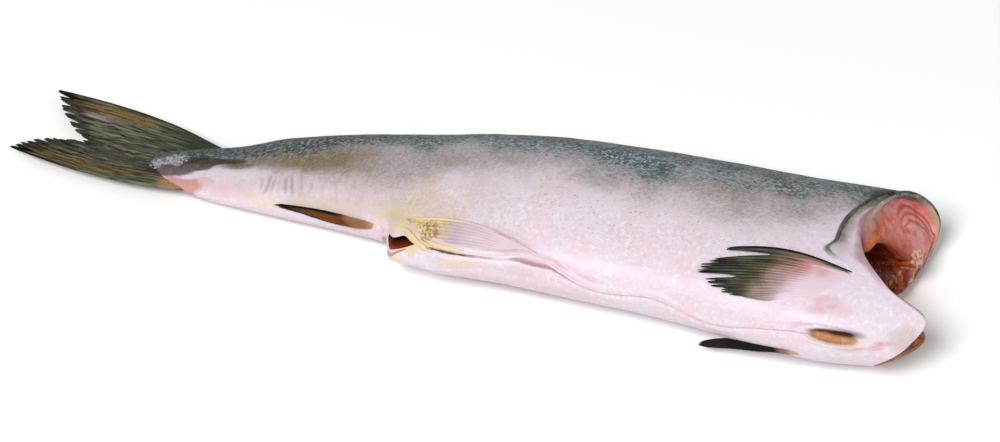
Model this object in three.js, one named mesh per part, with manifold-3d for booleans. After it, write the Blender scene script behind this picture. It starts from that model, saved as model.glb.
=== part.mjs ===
// A raw salmon-like fish, dressed: the head is cut off behind the gills and the belly is opened and gutted.
// It lies on its left flank. Millimetres, +X to the head cut, +Y to the back, +Z up out of the right flank.
// The whole fish is one solid: a skin tube that turns in at the head cut, over the sliced meat, and runs
// back as the empty body cavity, with the fins fused on.
import * as THREE from 'three';
import { mergeVertices } from 'three/addons/utils/BufferGeometryUtils.js';
import Module from 'manifold-3d';

const DEG = Math.PI / 180;

// ---- driving dimensions -------------------------------------------------------------------------------

// Stations along the fish: [x, back y, belly y, half thickness, height of the middle].
const STATIONS = [
  [-166, 13, 0, 1.4, 8.6],
  [-152, 17, -8.5, 5, 9],
  [-125, 25, -13, 9, 10],
  [-100, 36, -15, 13, 12],
  [-60, 44, -18, 18, 15.5],
  [-25, 48.5, -23, 21.5, 19],
  [0, 52.5, -31, 24.5, 21.5],
  [40, 59, -36.5, 26.5, 23],
  [90, 61.5, -37.5, 27.5, 24],
  [150, 62, -43, 28.5, 25],
  [172, 63.5, -45, 29, 25],
  [200, 65, -41, 28.5, 25],
  [230, 66, -30, 27, 24],
];
const SHOULDER_FULLNESS = 0.1;   // how much fuller the back half of a section is than its belly half
const BELLY_FLAP = 14;           // the opened belly sags this far below the keel at its rear end
const BELLY_FLAP_X = [-35, -27, 40];   // rear edge, deepest point, and where the sag has run out
const BELLY_FLAP_SPREAD = 62;    // degrees either side of the keel
const TAIL_ROOT_X = -165;
const TABLE_Z = 0;               // the left flank is pressed flat on the table

// Head cut: how far forward the rim reaches, by degrees round the section from the back.
const RIM = [
  [45, 194.5], [88, 183.5], [105, 187.5], [125, 202], [149, 222.5], [171, 216.5], [208, 202.5],
  [236, 210], [257, 219.5], [271, 209], [286, 193.5], [297, 198.5], [308, 206.3], [323, 210.5],
  [348, 212.5],
];
const COLLAR_WIDTH = [[0, 4], [60, 5], [90, 8.5], [100, 11], [108, 17], [118, 12], [135, 6], [180, 5]];
const COLLAR_DIP = 2;            // hollow of the bare band in front of the scaled skin
const COLLAR_REACH = [18, 60, 102, 115];  // degrees from the back where the hollow fades in and out
const SKIN_FOLD = 0.8;           // the scaled skin ends in a low step
const RIM_LIP = 2.2;
const RIM_ROUNDING = 0.3;        // the lip rolls back this far behind the rim
const MEAT_INSET = 3;            // thickness of skin and edge round the sliced meat
const MEAT_INSET_UPPER = 5.5;    // thicker along the bony rim of the upper flank
const MEAT_EDGE = 74;            // degrees from the back where the meat begins to thin into belly wall
const WALL_EDGE = 104;           // degrees from the back where only belly wall is left
const CUT_UPPER = { x: 189.5, z: 46 }; // the sliced meat is an oblique plane through these two levels
const CUT_LOWER = { x: 212, z: 14 };
const CUT_UNDER_RIM = 1.8;       // the meat stays this far behind the rim, but passes it on the upper flank
const CUT_PAST_RIM = 8;
const MEAT_DOME = 1.5;
const WALL_STEP = 2.5;           // spacing of the mesh over the rounded edge of the belly wall

// Body cavity: [x, roof y, wall thickness].
const CAVITY = [
  [-38, -12, 7],
  [-20, -2, 6.5],
  [30, 12, 7],
  [100, 20, 7.5],
  [200, 26, 6.5],
  [225, 26, 4],
];
const CAVITY_END_X = -37;
const BELLY_WALL = 5;
const THROAT_WALL = 3;
const THROAT_X = [170, 215];     // the wall thins over this stretch
const CAVITY_FLOOR_Z = 4.5;
const CAVITY_TIP_HALF = 1.5;     // half height of the hollow at its narrow end

// Belly cut: a closed slit that wanders either side of the keel: [x, degrees round from the back].
const SLIT = [[-60, 180], [-30, 172], [-8, 162], [25, 164], [48, 165], [75, 178], [98, 172], [128, 185],
  [150, 173], [172, 165], [205, 180], [230, 180]];
const SLIT_START_X = -22;
const SLIT_END_X = 172;
const SLIT_DEPTH = 2;
const SLIT_FADE = 8;             // length over which the slit closes at either end
const SLIT_COLUMNS = [-14, -7, -2.6, 0, 2.6, 7, 14];

const VENT = { x: -23, turn: 157, length: 17, width: 7.5, depth: 34 };
const THROAT_HOLE = { x: 183.5, turn: 168, length: 24, width: 7.5, depth: 20 };
const BACKBONE = { x: 204, y: 29, z: 27.5, radius: 5, canal: 2, length: 14 };

// Fins that lie on the skin, in [x, degrees round from the back]. The base runs from the leading ray to the
// last one, tips are the ends of the rays in the same order, and bow bends the leading rays outwards.
const FINS = {
  rightPectoral: {
    rays: 13,
    base: [[188.5, 119], [172, 137]],
    tips: [[127, 120], [122, 129], [119, 136], [136, 135], [125, 145], [136, 147], [156, 143]],
    bow: -5,
    height: 2.4,
  },
  rightPelvic: {
    rays: 9,
    base: [[54, 154], [50, 159]],
    tips: [[-8, 133], [-22, 135], [-21, 141], [-12, 149], [2, 157]],
    bow: -6,
    height: 2,
  },
  leftPelvic: {
    rays: 7,
    base: [[54, 232], [50, 224]],
    tips: [[-2, 244], [-12, 240], [-6, 230]],
    bow: 3,
    height: 1,
  },
  anal: {
    rays: 9,
    base: [[-44, 165], [-56, 183]],
    tips: [[-90, 156], [-96, 161], [-92, 166], [-82, 174], [-66, 182]],
    bow: -3,
    height: 2,
  },
  dorsal: {
    rays: 9,
    base: [[58, 356], [20, 357]],
    tips: [[2, 344], [-10, 346], [-14, 353], [-8, 358]],
    bow: -3,
    height: 1.6,
  },
  adipose: {
    rays: 4,
    base: [[-84, 8], [-91, 6]],
    tips: [[-97, 16], [-99, 13], [-98, 8]],
    bow: 3,
    height: 2.2,
  },
};
const FIN_STEPS = 6;
const FIN_ROOT_DEPTH = 2.5;      // fins reach this far into the body
const RAY_RELIEF = 0.3;

// The left pectoral fin is trapped under the belly and lies on the table: [x, y].
const LEFT_PECTORAL = {
  rays: 9,
  base: [[188, -10], [174, -18]],
  tips: [[133, -23], [121, -29.5], [120.5, -32.5], [130, -33], [157, -28]],
  underside: 0.4,
  thickness: 2.2,
  rootLift: 3,
};

// Tail fin, half folded, seen along the flank: [x, y].
const TAIL = {
  rays: 33,
  steps: 9,
  root: [[-138, -10.5], [-138, 22.5]],
  fork: [-202, 13],
  lowerLobe: [[-231, 11], [-238, -3]],   // bend of the ragged edge, then the tip
  upperLobe: [[-219, 20], [-234, 47.5]],
  bowUpper: 4.5,
  bowLower: 4.5,
  fray: 4,
  rootZ: 9.5,
  tipZ: 6.5,
  rootThickness: 9,
  edgeThickness: 1.1,
  taper: 0.45,
  outerRays: 0.55,               // the two leading edges are this much thinner than the middle rays
  betweenRays: 0.75,
};

// Mesh fineness.
const SKIN_ROWS = 46;
const CAVITY_ROWS = 13;
const CAVITY_ROW_GROWTH = 1.2;   // rows are closer together at the mouth
const COLUMN_COUNT = 40;

// ---- small tools --------------------------------------------------------------------------------------

const mix = (a, b, t) => a + (b - a) * t;
const clamp01 = (t) => Math.min(Math.max(t, 0), 1);
const smoothStep = (a, b, x) => {
  const t = clamp01((x - a) / (b - a));
  return t * t * (3 - 2 * t);
};

/** A smooth curve through [position, value] pairs that never overshoots a pair. */
function curveThrough(pairs) {
  const last = pairs.length - 1;
  const rise = (i) => (pairs[i + 1][1] - pairs[i][1]) / (pairs[i + 1][0] - pairs[i][0]);
  const slopes = pairs.map((_, i) => {
    if (i === 0) return rise(0);
    if (i === last) return rise(last - 1);
    const before = rise(i - 1);
    const after = rise(i);
    return before * after <= 0 ? 0 : (2 * before * after) / (before + after);
  });
  return (x) => {
    let i = 0;
    while (i < last - 1 && x > pairs[i + 1][0]) i += 1;
    const [x0, y0] = pairs[i];
    const [x1, y1] = pairs[i + 1];
    if (x < x0) return y0 + slopes[i] * (x - x0);
    if (x > x1) return y1 + slopes[i + 1] * (x - x1);
    const w = x1 - x0;
    const t = (x - x0) / w;
    const ease = t * t * (3 - 2 * t);
    return mix(y0, y1, ease) + w * t * (1 - t) * (slopes[i] * (1 - t) - slopes[i + 1] * t);
  };
}

/** The same for values round a full turn, in degrees. */
function curveRound(pairs) {
  const shifted = (turns) => pairs.map(([angle, value]) => [angle + 360 * turns, value]);
  const curve = curveThrough([...shifted(-1), ...shifted(0), ...shifted(1)]);
  return (angle) => curve(((angle % 360) + 360) % 360);
}

const fromBack = (turn) => Math.min(turn, 360 - turn);

// ---- form of the body ---------------------------------------------------------------------------------

const stationCurve = (column) => curveThrough(STATIONS.map((station) => [station[0], station[column]]));
const backY = stationCurve(1);
const bellyY = stationCurve(2);
const halfThickness = stationCurve(3);
const middleZ = stationCurve(4);
const rimX = curveRound(RIM);
const collarWidth = curveThrough(COLLAR_WIDTH);
const slitTurn = curveThrough(SLIT);
const cavityRoof = curveThrough(CAVITY.map(([x, roof]) => [x, roof]));
const cavityWall = curveThrough(CAVITY.map(([x, , wall]) => [x, wall]));

/** Point of the outer form at x, turned round from the back by an angle in degrees. */
function skinPoint(x, turn) {
  const c = Math.cos(turn * DEG);
  const s = Math.sin(turn * DEG);
  const y = mix(bellyY(x), backY(x), 0.5 + 0.5 * c) - bellySag(x, turn);
  const z = middleZ(x) + halfThickness(x) * s * (1 + SHOULDER_FULLNESS * c);
  return new THREE.Vector3(x, y, Math.max(z, TABLE_Z));
}

/** How far the cut belly hangs below the smooth keel line. */
function bellySag(x, turn) {
  const [rear, deepest, end] = BELLY_FLAP_X;
  const along = smoothStep(rear, deepest, x) * (1 - smoothStep(deepest, end, x));
  return BELLY_FLAP * along * (1 - smoothStep(0, BELLY_FLAP_SPREAD, Math.abs(turn - 180)));
}

/** Moves a point of a section towards its middle by a depth; a negative depth lifts it out. */
function pressIn(point, depth) {
  const heart = new THREE.Vector3(point.x, mix(bellyY(point.x), backY(point.x), 0.5), middleZ(point.x));
  const away = point.clone().sub(heart);
  const pressed = heart.add(away.multiplyScalar(1 - depth / away.length()));
  pressed.z = Math.max(pressed.z, TABLE_Z);
  return pressed;
}

/** Columns of the mesh lean over so that the one at the keel follows the wandering belly cut. */
function leanToSlit(x, column) {
  const reach = clamp01(1 - Math.abs(column - 180) / 90);
  return column + (slitTurn(x) - 180) * reach * reach * (3 - 2 * reach);
}

/** Point of the empty cavity's wall at x and the same angle. */
function cavityPoint(x, turn) {
  const c = Math.cos(turn * DEG);
  const s = Math.sin(turn * DEG);
  const wall = cavityWall(x);
  const bellyWall = mix(BELLY_WALL, THROAT_WALL, smoothStep(...THROAT_X, x));
  const level = mix(bellyY(x) + bellyWall, cavityRoof(x), 0.5 + 0.5 * c);
  const y = level - bellySag(x, turn);
  const skin = skinAtHeight(x, level);
  const half = Math.max((skin.top - skin.bottom) / 2 - wall, CAVITY_TIP_HALF);
  const z = (skin.top + skin.bottom) / 2 + half * s;
  return new THREE.Vector3(x, y, Math.max(z, CAVITY_FLOOR_Z));
}

/** Upper and lower height of the outer form at x and y. */
function skinAtHeight(x, y) {
  const c = THREE.MathUtils.clamp(((y - bellyY(x)) / (backY(x) - bellyY(x))) * 2 - 1, -1, 1);
  const s = Math.sqrt(1 - c * c);
  const reach = halfThickness(x) * s * (1 + SHOULDER_FULLNESS * c);
  return { top: middleZ(x) + reach, bottom: Math.max(middleZ(x) - reach, TABLE_Z) };
}

/** Columns round the section: even, but close together at the belly cut. */
function columnAngles() {
  const spread = SLIT_COLUMNS[SLIT_COLUMNS.length - 1];
  const angles = [];
  for (let k = 0; k < COLUMN_COUNT; k += 1) {
    const angle = (360 * k) / COLUMN_COUNT;
    if (Math.abs(angle - 180) > spread + 2) angles.push(angle);
  }
  SLIT_COLUMNS.forEach((offset) => angles.push(180 + offset));
  return angles.sort((a, b) => a - b);
}

/** How far the belly cut is pressed in at a column: a closed slit, deep on its line only. */
function slitDepth(x, column) {
  const opened = smoothStep(SLIT_START_X - SLIT_FADE, SLIT_START_X, x);
  const closed = smoothStep(SLIT_END_X, SLIT_END_X + SLIT_FADE, x);
  return Math.abs(column - 180) < 1 ? SLIT_DEPTH * opened * (1 - closed) : 0;
}

/** One ring of points, by a function of the column angle. */
const ring = (columns, place) => columns.map(place);

function skinRings(columns) {
  const rings = [];
  for (let i = 0; i <= SKIN_ROWS; i += 1) {
    rings.push(ring(columns, (column) => {
      const foldX = rimX(column) - collarWidth(fromBack(column));
      const x = mix(TAIL_ROOT_X, foldX, i / SKIN_ROWS);
      return pressIn(skinPoint(x, leanToSlit(x, column)), slitDepth(x, column));
    }));
  }
  return rings;
}

/** The bare band between the scaled skin's edge and the bony rim: a step, then a hollow. */
function collarRings(columns) {
  const [start, full, fading, end] = COLLAR_REACH;
  const profile = [[0.08, 0.3], [0.35, 1], [0.7, 0.7], [1, 0]];
  return profile.map(([along, dip]) => ring(columns, (column) => {
    const angle = fromBack(column);
    const bare = smoothStep(start, full, angle) * (1 - smoothStep(fading, end, angle));
    const x = rimX(column) - collarWidth(angle) * (1 - along);
    const step = along < 1 ? SKIN_FOLD : 0;
    return pressIn(skinPoint(x, leanToSlit(x, column)), (step + COLLAR_DIP * dip) * bare);
  }));
}

/** Where the oblique cut lies at a height of a column. */
function cutX(column, z) {
  const plane = mix(CUT_UPPER.x, CUT_LOWER.x, (CUT_UPPER.z - z) / (CUT_UPPER.z - CUT_LOWER.z));
  const past = CUT_PAST_RIM * Math.max(Math.sin(column * DEG), 0) - CUT_UNDER_RIM;
  return Math.min(plane, rimX(column) + past);
}

/** Front edge of the body cavity in a column: at the backbone in the meat, near the rim in the belly wall. */
function mouthX(column, wallX) {
  const height = cavityPoint(BACKBONE.x, column).z;
  return mix(Math.min(cutX(column, height), BACKBONE.x), wallX, beyondMeat(column));
}

const beyondMeat = (column) => smoothStep(MEAT_EDGE, WALL_EDGE, fromBack(column));

/** The cut itself: rounded rim, inner slope, then sliced meat at the back and belly wall below. */
function cutRings(columns) {
  const across = [0, 0.34, 0.68, 1];
  const lip = ring(columns, (column) => {
    return pressIn(skinPoint(rimX(column) - RIM_ROUNDING, column), RIM_LIP);
  });
  const faces = across.map((toCavity, index) => ring(columns, (column) => {
    const inset = mix(MEAT_INSET, MEAT_INSET_UPPER, Math.max(Math.sin(column * DEG), 0));
    const edge = pressIn(skinPoint(rimX(column), column), inset);
    const wallX = rimX(column) - WALL_STEP * (index + 1);
    const mouth = cavityPoint(mouthX(column, wallX), column);
    const meatX = mix(cutX(column, edge.z), mouth.x, toCavity) + MEAT_DOME * Math.sin(Math.PI * toCavity);
    return new THREE.Vector3(
      mix(meatX, wallX, beyondMeat(column)),
      mix(edge.y, mouth.y, toCavity),
      mix(edge.z, mouth.z, toCavity),
    );
  }));
  return [lip, ...faces];
}

function cavityRings(columns) {
  const rings = [];
  for (let i = 1; i <= CAVITY_ROWS; i += 1) {
    rings.push(ring(columns, (column) => {
      const front = mouthX(column, rimX(column) - 4 * WALL_STEP);
      return cavityPoint(mix(front, CAVITY_END_X, (i / CAVITY_ROWS) ** CAVITY_ROW_GROWTH), column);
    }));
  }
  return rings;
}

/** Closed mesh from rings of equal count, each end closed with a fan to its middle. */
function ringsToGeometry(rings) {
  const count = rings[0].length;
  const middle = (points) => points.reduce((sum, p) => sum.add(p), new THREE.Vector3()).divideScalar(count);
  const points = [...rings.flat(), middle(rings[0]), middle(rings[rings.length - 1])];
  const firstPole = points.length - 2;
  const lastPole = points.length - 1;
  const lastRing = (rings.length - 1) * count;
  const index = [];
  for (let j = 0; j < count; j += 1) {
    const next = (j + 1) % count;
    index.push(firstPole, next, j);
    index.push(lastPole, lastRing + j, lastRing + next);
    for (let i = 0; i < rings.length - 1; i += 1) {
      const a = i * count + j;
      const b = i * count + next;
      index.push(a, b, b + count, a, b + count, a + count);
    }
  }
  const geometry = new THREE.BufferGeometry();
  geometry.setAttribute('position', new THREE.Float32BufferAttribute(points.flatMap((p) => p.toArray()), 3));
  geometry.setIndex(index);
  return geometry;
}

function bodyGeometry() {
  const columns = columnAngles();
  return ringsToGeometry([
    ...skinRings(columns),
    ...collarRings(columns),
    ...cutRings(columns),
    ...cavityRings(columns),
  ]);
}

// ---- fins ---------------------------------------------------------------------------------------------

/** Fixed uneven number between 0 and 1 for each ray. */
const uneven = (k) => {
  const wave = Math.sin(k * 12.9898 + 4.1) * 43758.5453;
  return wave - Math.floor(wave);
};

/** Curve through evenly spaced points of two coordinates. */
function pathThrough(points) {
  const axis = (c) => curveThrough(points.map((point, i) => [i / (points.length - 1), point[c]]));
  const first = axis(0);
  const second = axis(1);
  return (t) => [first(t), second(t)];
}

/** Closed blade between an upper and a lower grid of points, each a list of rays of points. */
function bladeGeometry(upper, lower) {
  const rays = upper.length;
  const steps = upper[0].length;
  const points = [...upper.flat(), ...lower.flat()];
  const under = rays * steps;
  const index = [];
  const quad = (a, b, c, d) => index.push(a, b, c, a, c, d);
  for (let k = 0; k < rays - 1; k += 1) {
    for (let i = 0; i < steps - 1; i += 1) {
      const a = k * steps + i;
      const b = a + steps;
      quad(a, b, b + 1, a + 1);
      quad(under + a, under + a + 1, under + b + 1, under + b);
    }
  }
  for (let i = 0; i < steps - 1; i += 1) {
    const last = (rays - 1) * steps + i;
    quad(i, i + 1, under + i + 1, under + i);
    quad(last + 1, last, under + last, under + last + 1);
  }
  for (let k = 0; k < rays - 1; k += 1) {
    const root = k * steps;
    const tip = root + steps - 1;
    quad(root + steps, root, under + root, under + root + steps);
    quad(tip, tip + steps, under + tip + steps, under + tip);
  }
  const geometry = new THREE.BufferGeometry();
  geometry.setAttribute('position', new THREE.Float32BufferAttribute(points.flatMap((p) => p.toArray()), 3));
  geometry.setIndex(index);
  return geometry;
}

/** A fin folded flat on the skin: its rays are low ridges, its root is sunk in the flesh. */
function skinFinGeometry({ rays, base, tips, bow, height }) {
  const rootPath = pathThrough(base);
  const tipPath = pathThrough(tips);
  const grid = (lift) => Array.from({ length: rays }, (_, k) => {
    const across = k / (rays - 1);
    const [rootX, rootTurn] = rootPath(across);
    const [tipX, tipTurn] = tipPath(across);
    return Array.from({ length: FIN_STEPS + 1 }, (__, i) => {
      const along = i / FIN_STEPS;
      const turn = mix(rootTurn, tipTurn, along) + bow * (1 - across) * Math.sin(Math.PI * along);
      const skin = skinPoint(mix(rootX, tipX, along), turn);
      return pressIn(skin, -lift(k, along));
    });
  });
  const ridge = (k) => (k % 2 ? RAY_RELIEF : 0);
  const upper = grid((k, along) => height * mix(0.6, 1, Math.sin(Math.PI * along) ** 2) + ridge(k));
  const lower = grid(() => -FIN_ROOT_DEPTH);
  return bladeGeometry(upper, lower);
}

function leftPectoralGeometry() {
  const { rays, base, tips, underside, thickness, rootLift } = LEFT_PECTORAL;
  const rootPath = pathThrough(base);
  const tipPath = pathThrough(tips);
  const grid = (height) => Array.from({ length: rays }, (_, k) => {
    const across = k / (rays - 1);
    const root = rootPath(across);
    const tip = tipPath(across);
    return Array.from({ length: FIN_STEPS + 1 }, (__, i) => {
      const along = i / FIN_STEPS;
      const y = mix(root[1], tip[1], along);
      return new THREE.Vector3(mix(root[0], tip[0], along), y, height(along) + (k % 2 ? RAY_RELIEF : 0));
    });
  });
  const upper = grid((along) => underside + thickness + rootLift * (1 - along) ** 2);
  const lower = grid(() => underside);
  return bladeGeometry(upper, lower);
}

/** Quadratic curve from a start over a bend to an end. */
const bend = (start, middle, end, t) => [0, 1].map((c) => (
  mix(mix(start[c], middle[c], t), mix(middle[c], end[c], t), t)
));

/** The tail fin: its rays fan from the tail root, longest in the two lobes, with ragged ends. */
function tailGeometry() {
  const { rays, steps, root, fork, lowerLobe, upperLobe } = TAIL;
  const grid = (side) => Array.from({ length: rays }, (_, k) => {
    const v = (2 * k) / (rays - 1) - 1;
    const lobe = v > 0 ? upperLobe : lowerLobe;
    const tip = bend(fork, lobe[0], lobe[1], Math.abs(v));
    const start = [mix(root[0][0], root[1][0], (v + 1) / 2), mix(root[0][1], root[1][1], (v + 1) / 2)];
    const length = Math.hypot(tip[0] - start[0], tip[1] - start[1]);
    const ragged = 1 - (TAIL.fray * uneven(k) * (1 - v ** 6)) / length;
    const bow = v > 0 ? TAIL.bowUpper * v : TAIL.bowLower * v;
    return Array.from({ length: steps + 1 }, (__, i) => {
      const u = i / steps;
      const reach = u * ragged;
      const thin = mix(TAIL.rootThickness, TAIL.edgeThickness, u ** TAIL.taper);
      const margin = mix(TAIL.outerRays, 1, Math.sqrt(1 - v * v));
      const ridge = (k % 2 ? 1 : TAIL.betweenRays) * margin;
      return new THREE.Vector3(
        mix(start[0], tip[0], reach),
        mix(start[1], tip[1], reach) + bow * Math.sin(Math.PI * u),
        mix(TAIL.rootZ, TAIL.tipZ, u) + (side * thin * ridge) / 2,
      );
    });
  });
  return bladeGeometry(grid(1), grid(-1));
}

// ---- build --------------------------------------------------------------------------------------------

const wasm = await Module();
wasm.setup();

/** A closed geometry as a solid for joining and cutting. */
function toSolid(geometry) {
  geometry.deleteAttribute('normal');
  geometry.deleteAttribute('uv');
  const merged = mergeVertices(geometry, 1e-4);
  const corners = Array.from(merged.index.array);
  if (signedVolume(merged) < 0) corners.reverse();
  return new wasm.Manifold(new wasm.Mesh({
    numProp: 3,
    vertProperties: Float32Array.from(merged.attributes.position.array),
    triVerts: Uint32Array.from(corners),
  }));
}

/** Volume inside the faces, negative when they point inwards. */
function signedVolume(geometry) {
  const { position } = geometry.attributes;
  const corner = (i) => new THREE.Vector3().fromBufferAttribute(position, geometry.index.getX(i));
  let sum = 0;
  for (let i = 0; i < geometry.index.count; i += 3) sum += corner(i).dot(corner(i + 1).cross(corner(i + 2)));
  return sum / 6;
}

function toGeometry(solid) {
  const mesh = solid.getMesh();
  const geometry = new THREE.BufferGeometry();
  geometry.setAttribute('position', new THREE.Float32BufferAttribute(mesh.vertProperties, 3));
  geometry.setIndex(new THREE.Uint32BufferAttribute(mesh.triVerts, 1));
  geometry.computeVertexNormals();
  return geometry;
}

/** A long oval plug that cuts an opening from the skin into the body cavity. */
function openingGeometry({ x, turn, length, width, depth }) {
  const centre = skinPoint(x, turn);
  const hollow = cavityPoint(x, 0).lerp(cavityPoint(x, 180), 0.6);
  const out = centre.clone().sub(hollow).normalize();
  const along = skinPoint(x + 1, turn).sub(centre);
  const across = new THREE.Vector3().crossVectors(out, along).normalize();
  const ahead = new THREE.Vector3().crossVectors(across, out);
  const frame = new THREE.Matrix4().makeBasis(ahead, across, out).setPosition(centre);
  return new THREE.SphereGeometry(1, 16, 8).scale(length / 2, width / 2, depth / 2).applyMatrix4(frame);
}

function backboneGeometry() {
  const { x, y, z, radius, canal, length } = BACKBONE;
  const depth = canal * 1.5;
  const outside = [[0, -length], [radius, -length], [radius * 0.9, 0]];
  const inside = [[canal, 0], [canal * 0.8, -depth], [0, -depth]];
  const lathe = new THREE.LatheGeometry([...outside, ...inside].map(([r, h]) => new THREE.Vector2(r, h)), 12);
  return lathe.rotateZ(-Math.PI / 2).translate(x, y, z);
}

const fins = Object.values(FINS).map(skinFinGeometry);
const added = [...fins, leftPectoralGeometry(), tailGeometry(), backboneGeometry()];
const removed = [openingGeometry(VENT), openingGeometry(THROAT_HOLE)];
const body = toSolid(bodyGeometry());
const joined = added.reduce((solid, geometry) => solid.add(toSolid(geometry)), body);
const dressed = removed.reduce((solid, geometry) => solid.subtract(toSolid(geometry)), joined);

const fish = new THREE.Mesh(
  toGeometry(dressed),
  new THREE.MeshStandardMaterial({ color: 0xd9cfd6, roughness: 0.3, metalness: 0.1 }),
);
fish.name = 'fish';

// The origin is on the table, under the middle of the fish's box.
fish.geometry.computeBoundingBox();
const middle = fish.geometry.boundingBox.getCenter(new THREE.Vector3());
fish.position.set(-middle.x, -middle.y, 0);

const group = new THREE.Group();
group.add(fish);

export default group;
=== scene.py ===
"""A raw salmon-like fish, head off and gutted, lying on its left flank.

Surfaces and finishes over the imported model. Sizes of the form are millimetres in the fish's own axes: +X to
the head cut, +Y to the back, +Z up out of the right flank. A turn is in degrees round a section from the
back: 90 is the right flank, 180 the keel, 270 the flank on the table.
"""
import math
from itertools import product
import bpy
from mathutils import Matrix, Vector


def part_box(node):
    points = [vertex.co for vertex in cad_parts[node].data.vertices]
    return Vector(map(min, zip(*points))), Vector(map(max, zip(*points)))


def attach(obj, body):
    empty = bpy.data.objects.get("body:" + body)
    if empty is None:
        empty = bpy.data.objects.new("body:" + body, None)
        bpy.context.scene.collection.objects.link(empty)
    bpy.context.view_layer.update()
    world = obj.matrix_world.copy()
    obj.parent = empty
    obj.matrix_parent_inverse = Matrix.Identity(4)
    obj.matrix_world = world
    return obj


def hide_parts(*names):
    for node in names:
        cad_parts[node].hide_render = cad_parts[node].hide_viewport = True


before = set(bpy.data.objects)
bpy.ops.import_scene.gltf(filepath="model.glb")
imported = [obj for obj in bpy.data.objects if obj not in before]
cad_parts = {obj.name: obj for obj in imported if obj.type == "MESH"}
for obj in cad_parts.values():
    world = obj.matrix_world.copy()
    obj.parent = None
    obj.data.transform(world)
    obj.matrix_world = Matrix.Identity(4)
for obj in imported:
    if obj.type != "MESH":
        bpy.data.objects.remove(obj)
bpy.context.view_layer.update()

from types import SimpleNamespace

import bpy
import numpy as np
from mathutils import Vector
from mathutils.kdtree import KDTree

bl_info = {
    "name": "Dressed Fish",
    "version": (1, 0, 0),
    "blender": (4, 5, 0),
    "location": "View3D > Sidebar > Dressed Fish",
    "description": "Models and finishes a raw fish with its head off and its belly opened",
    "category": "Object",
}

NODE = "fish"
BODY = "root"
MM = 0.001

# ---- form, as in the solid -----------------------------------------------------------------------------

# Stations along the fish: x, back y, belly y, half thickness, height of the middle.
STATIONS = [
    (-166, 13, 0, 1.4, 8.6),
    (-152, 17, -8.5, 5, 9),
    (-125, 25, -13, 9, 10),
    (-100, 36, -15, 13, 12),
    (-60, 44, -18, 18, 15.5),
    (-25, 48.5, -23, 21.5, 19),
    (0, 52.5, -31, 24.5, 21.5),
    (40, 59, -36.5, 26.5, 23),
    (90, 61.5, -37.5, 27.5, 24),
    (150, 62, -43, 28.5, 25),
    (172, 63.5, -45, 29, 25),
    (200, 65, -41, 28.5, 25),
    (230, 66, -30, 27, 24),
]
BACK_TOP_Y = 65.4             # highest back and furthest tail tip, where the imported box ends
TAIL_TIP_X = -238
SHOULDER_FULLNESS = 0.1
BELLY_FLAP = 14
BELLY_FLAP_X = (-35, -27, 40)
BELLY_FLAP_SPREAD = 62
TAIL_ROOT_X = -165

RIM = [
    (45, 194.5), (88, 183.5), (105, 187.5), (125, 202), (149, 222.5), (171, 216.5), (208, 202.5),
    (236, 210), (257, 219.5), (271, 209), (286, 193.5), (297, 198.5), (308, 206.3), (323, 210.5),
    (348, 212.5),
]
COLLAR_WIDTH = [(0, 4), (60, 5), (90, 8.5), (100, 11), (108, 17), (118, 12), (135, 6), (180, 5)]
COLLAR_DIP = 2
COLLAR_RISE = 1.6
COLLAR_TURNS = (22, 34, 97, 109)
COLLAR_REACH = (18, 60, 102, 115)
SKIN_FOLD = 0.4
RIM_LIP = 2.2
MEAT_INSET = 3
MEAT_INSET_UPPER = 5.5
MEAT_EDGE = 74
WALL_EDGE = 104
CUT_UPPER = (189.5, 46)       # x, z
CUT_LOWER = (212, 14)
CUT_UNDER_RIM = 1.8
CUT_PAST_RIM = 8
MEAT_DOME = 1.5
WALL_STEP = 2.5

CAVITY = [(-38, -12, 7), (-20, -2, 6.5), (30, 12, 7), (100, 20, 7.5), (200, 26, 6.5), (225, 26, 4)]
CAVITY_END_X = -37
MOUTH_X = 204
MOUTH_TILT = 9                # the cavity's roof reaches higher on the table side at the cut
MOUTH_TILT_X = (165, 200)
MOUTH_SQUARE = 0.35           # and its corner above the near wall is square
BELLY_WALL = 5
THROAT_WALL = 3
THROAT_X = (170, 215)
CAVITY_FLOOR_Z = 4.5
CAVITY_TIP_HALF = 1.5
CAVITY_ROW_GROWTH = 1.2

SLIT = [
    (-60, 180), (-30, 172), (-8, 160.8), (2, 162.3), (10, 163), (24, 163.2), (36, 158.5), (47, 160),
    (56, 167), (66, 175.5), (75, 178.5), (98, 172), (128, 185), (150, 173), (172, 165), (205, 180),
    (230, 180),
]
MEAT_HEART = (40.5, 20.5)     # y, z: the meat's layers run round this
MEAT_BLOOD = (32, 20.8, 4.2)  # y, z, radius of the blood under the backbone
BACKBONE = {"x": 206.3, "y": 35.8, "z": 22.2, "radius": 6.2, "canal": 1.0, "length": 8}

# ---- mesh fineness -------------------------------------------------------------------------------------

SKIN_ROWS = 304
# How close together the rows are: share of the way from the tail's root to the fold in front, density.
ROW_DENSITY = [
    (0, 1.3), (0.12, 1.4), (0.165, 2.5), (0.27, 2.5), (0.32, 1.15), (0.6, 1.15), (0.68, 0.8), (0.86, 0.8),
    (0.88, 1.6), (0.95, 1.6), (0.985, 5.2), (1, 6.5),
]
COLUMNS = 250
CAVITY_ROWS = 14
SEAM_TURN = -90               # the mesh closes on the table side
MAP_MM = 100.0                # one unit of the surface map
MERGED = 1e-6                 # metres within which corners are one

# ---- small tools ---------------------------------------------------------------------------------------


def mix(a, b, t):
    return a + (b - a) * t


def smooth(low, high, value):
    """Rises from 0 at low to 1 at high, with level ends."""
    t = np.clip((value - low) / (high - low), 0, 1)
    return t * t * (3 - 2 * t)


def fall(low, high, value):
    """Falls from 1 at low to 0 at high, with level ends."""
    return 1 - smooth(low, high, value)


def between(low, full, fading, high, value):
    """1 from full to fading, and 0 below low and above high."""
    return smooth(low, full, value) * fall(fading, high, value)


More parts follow.
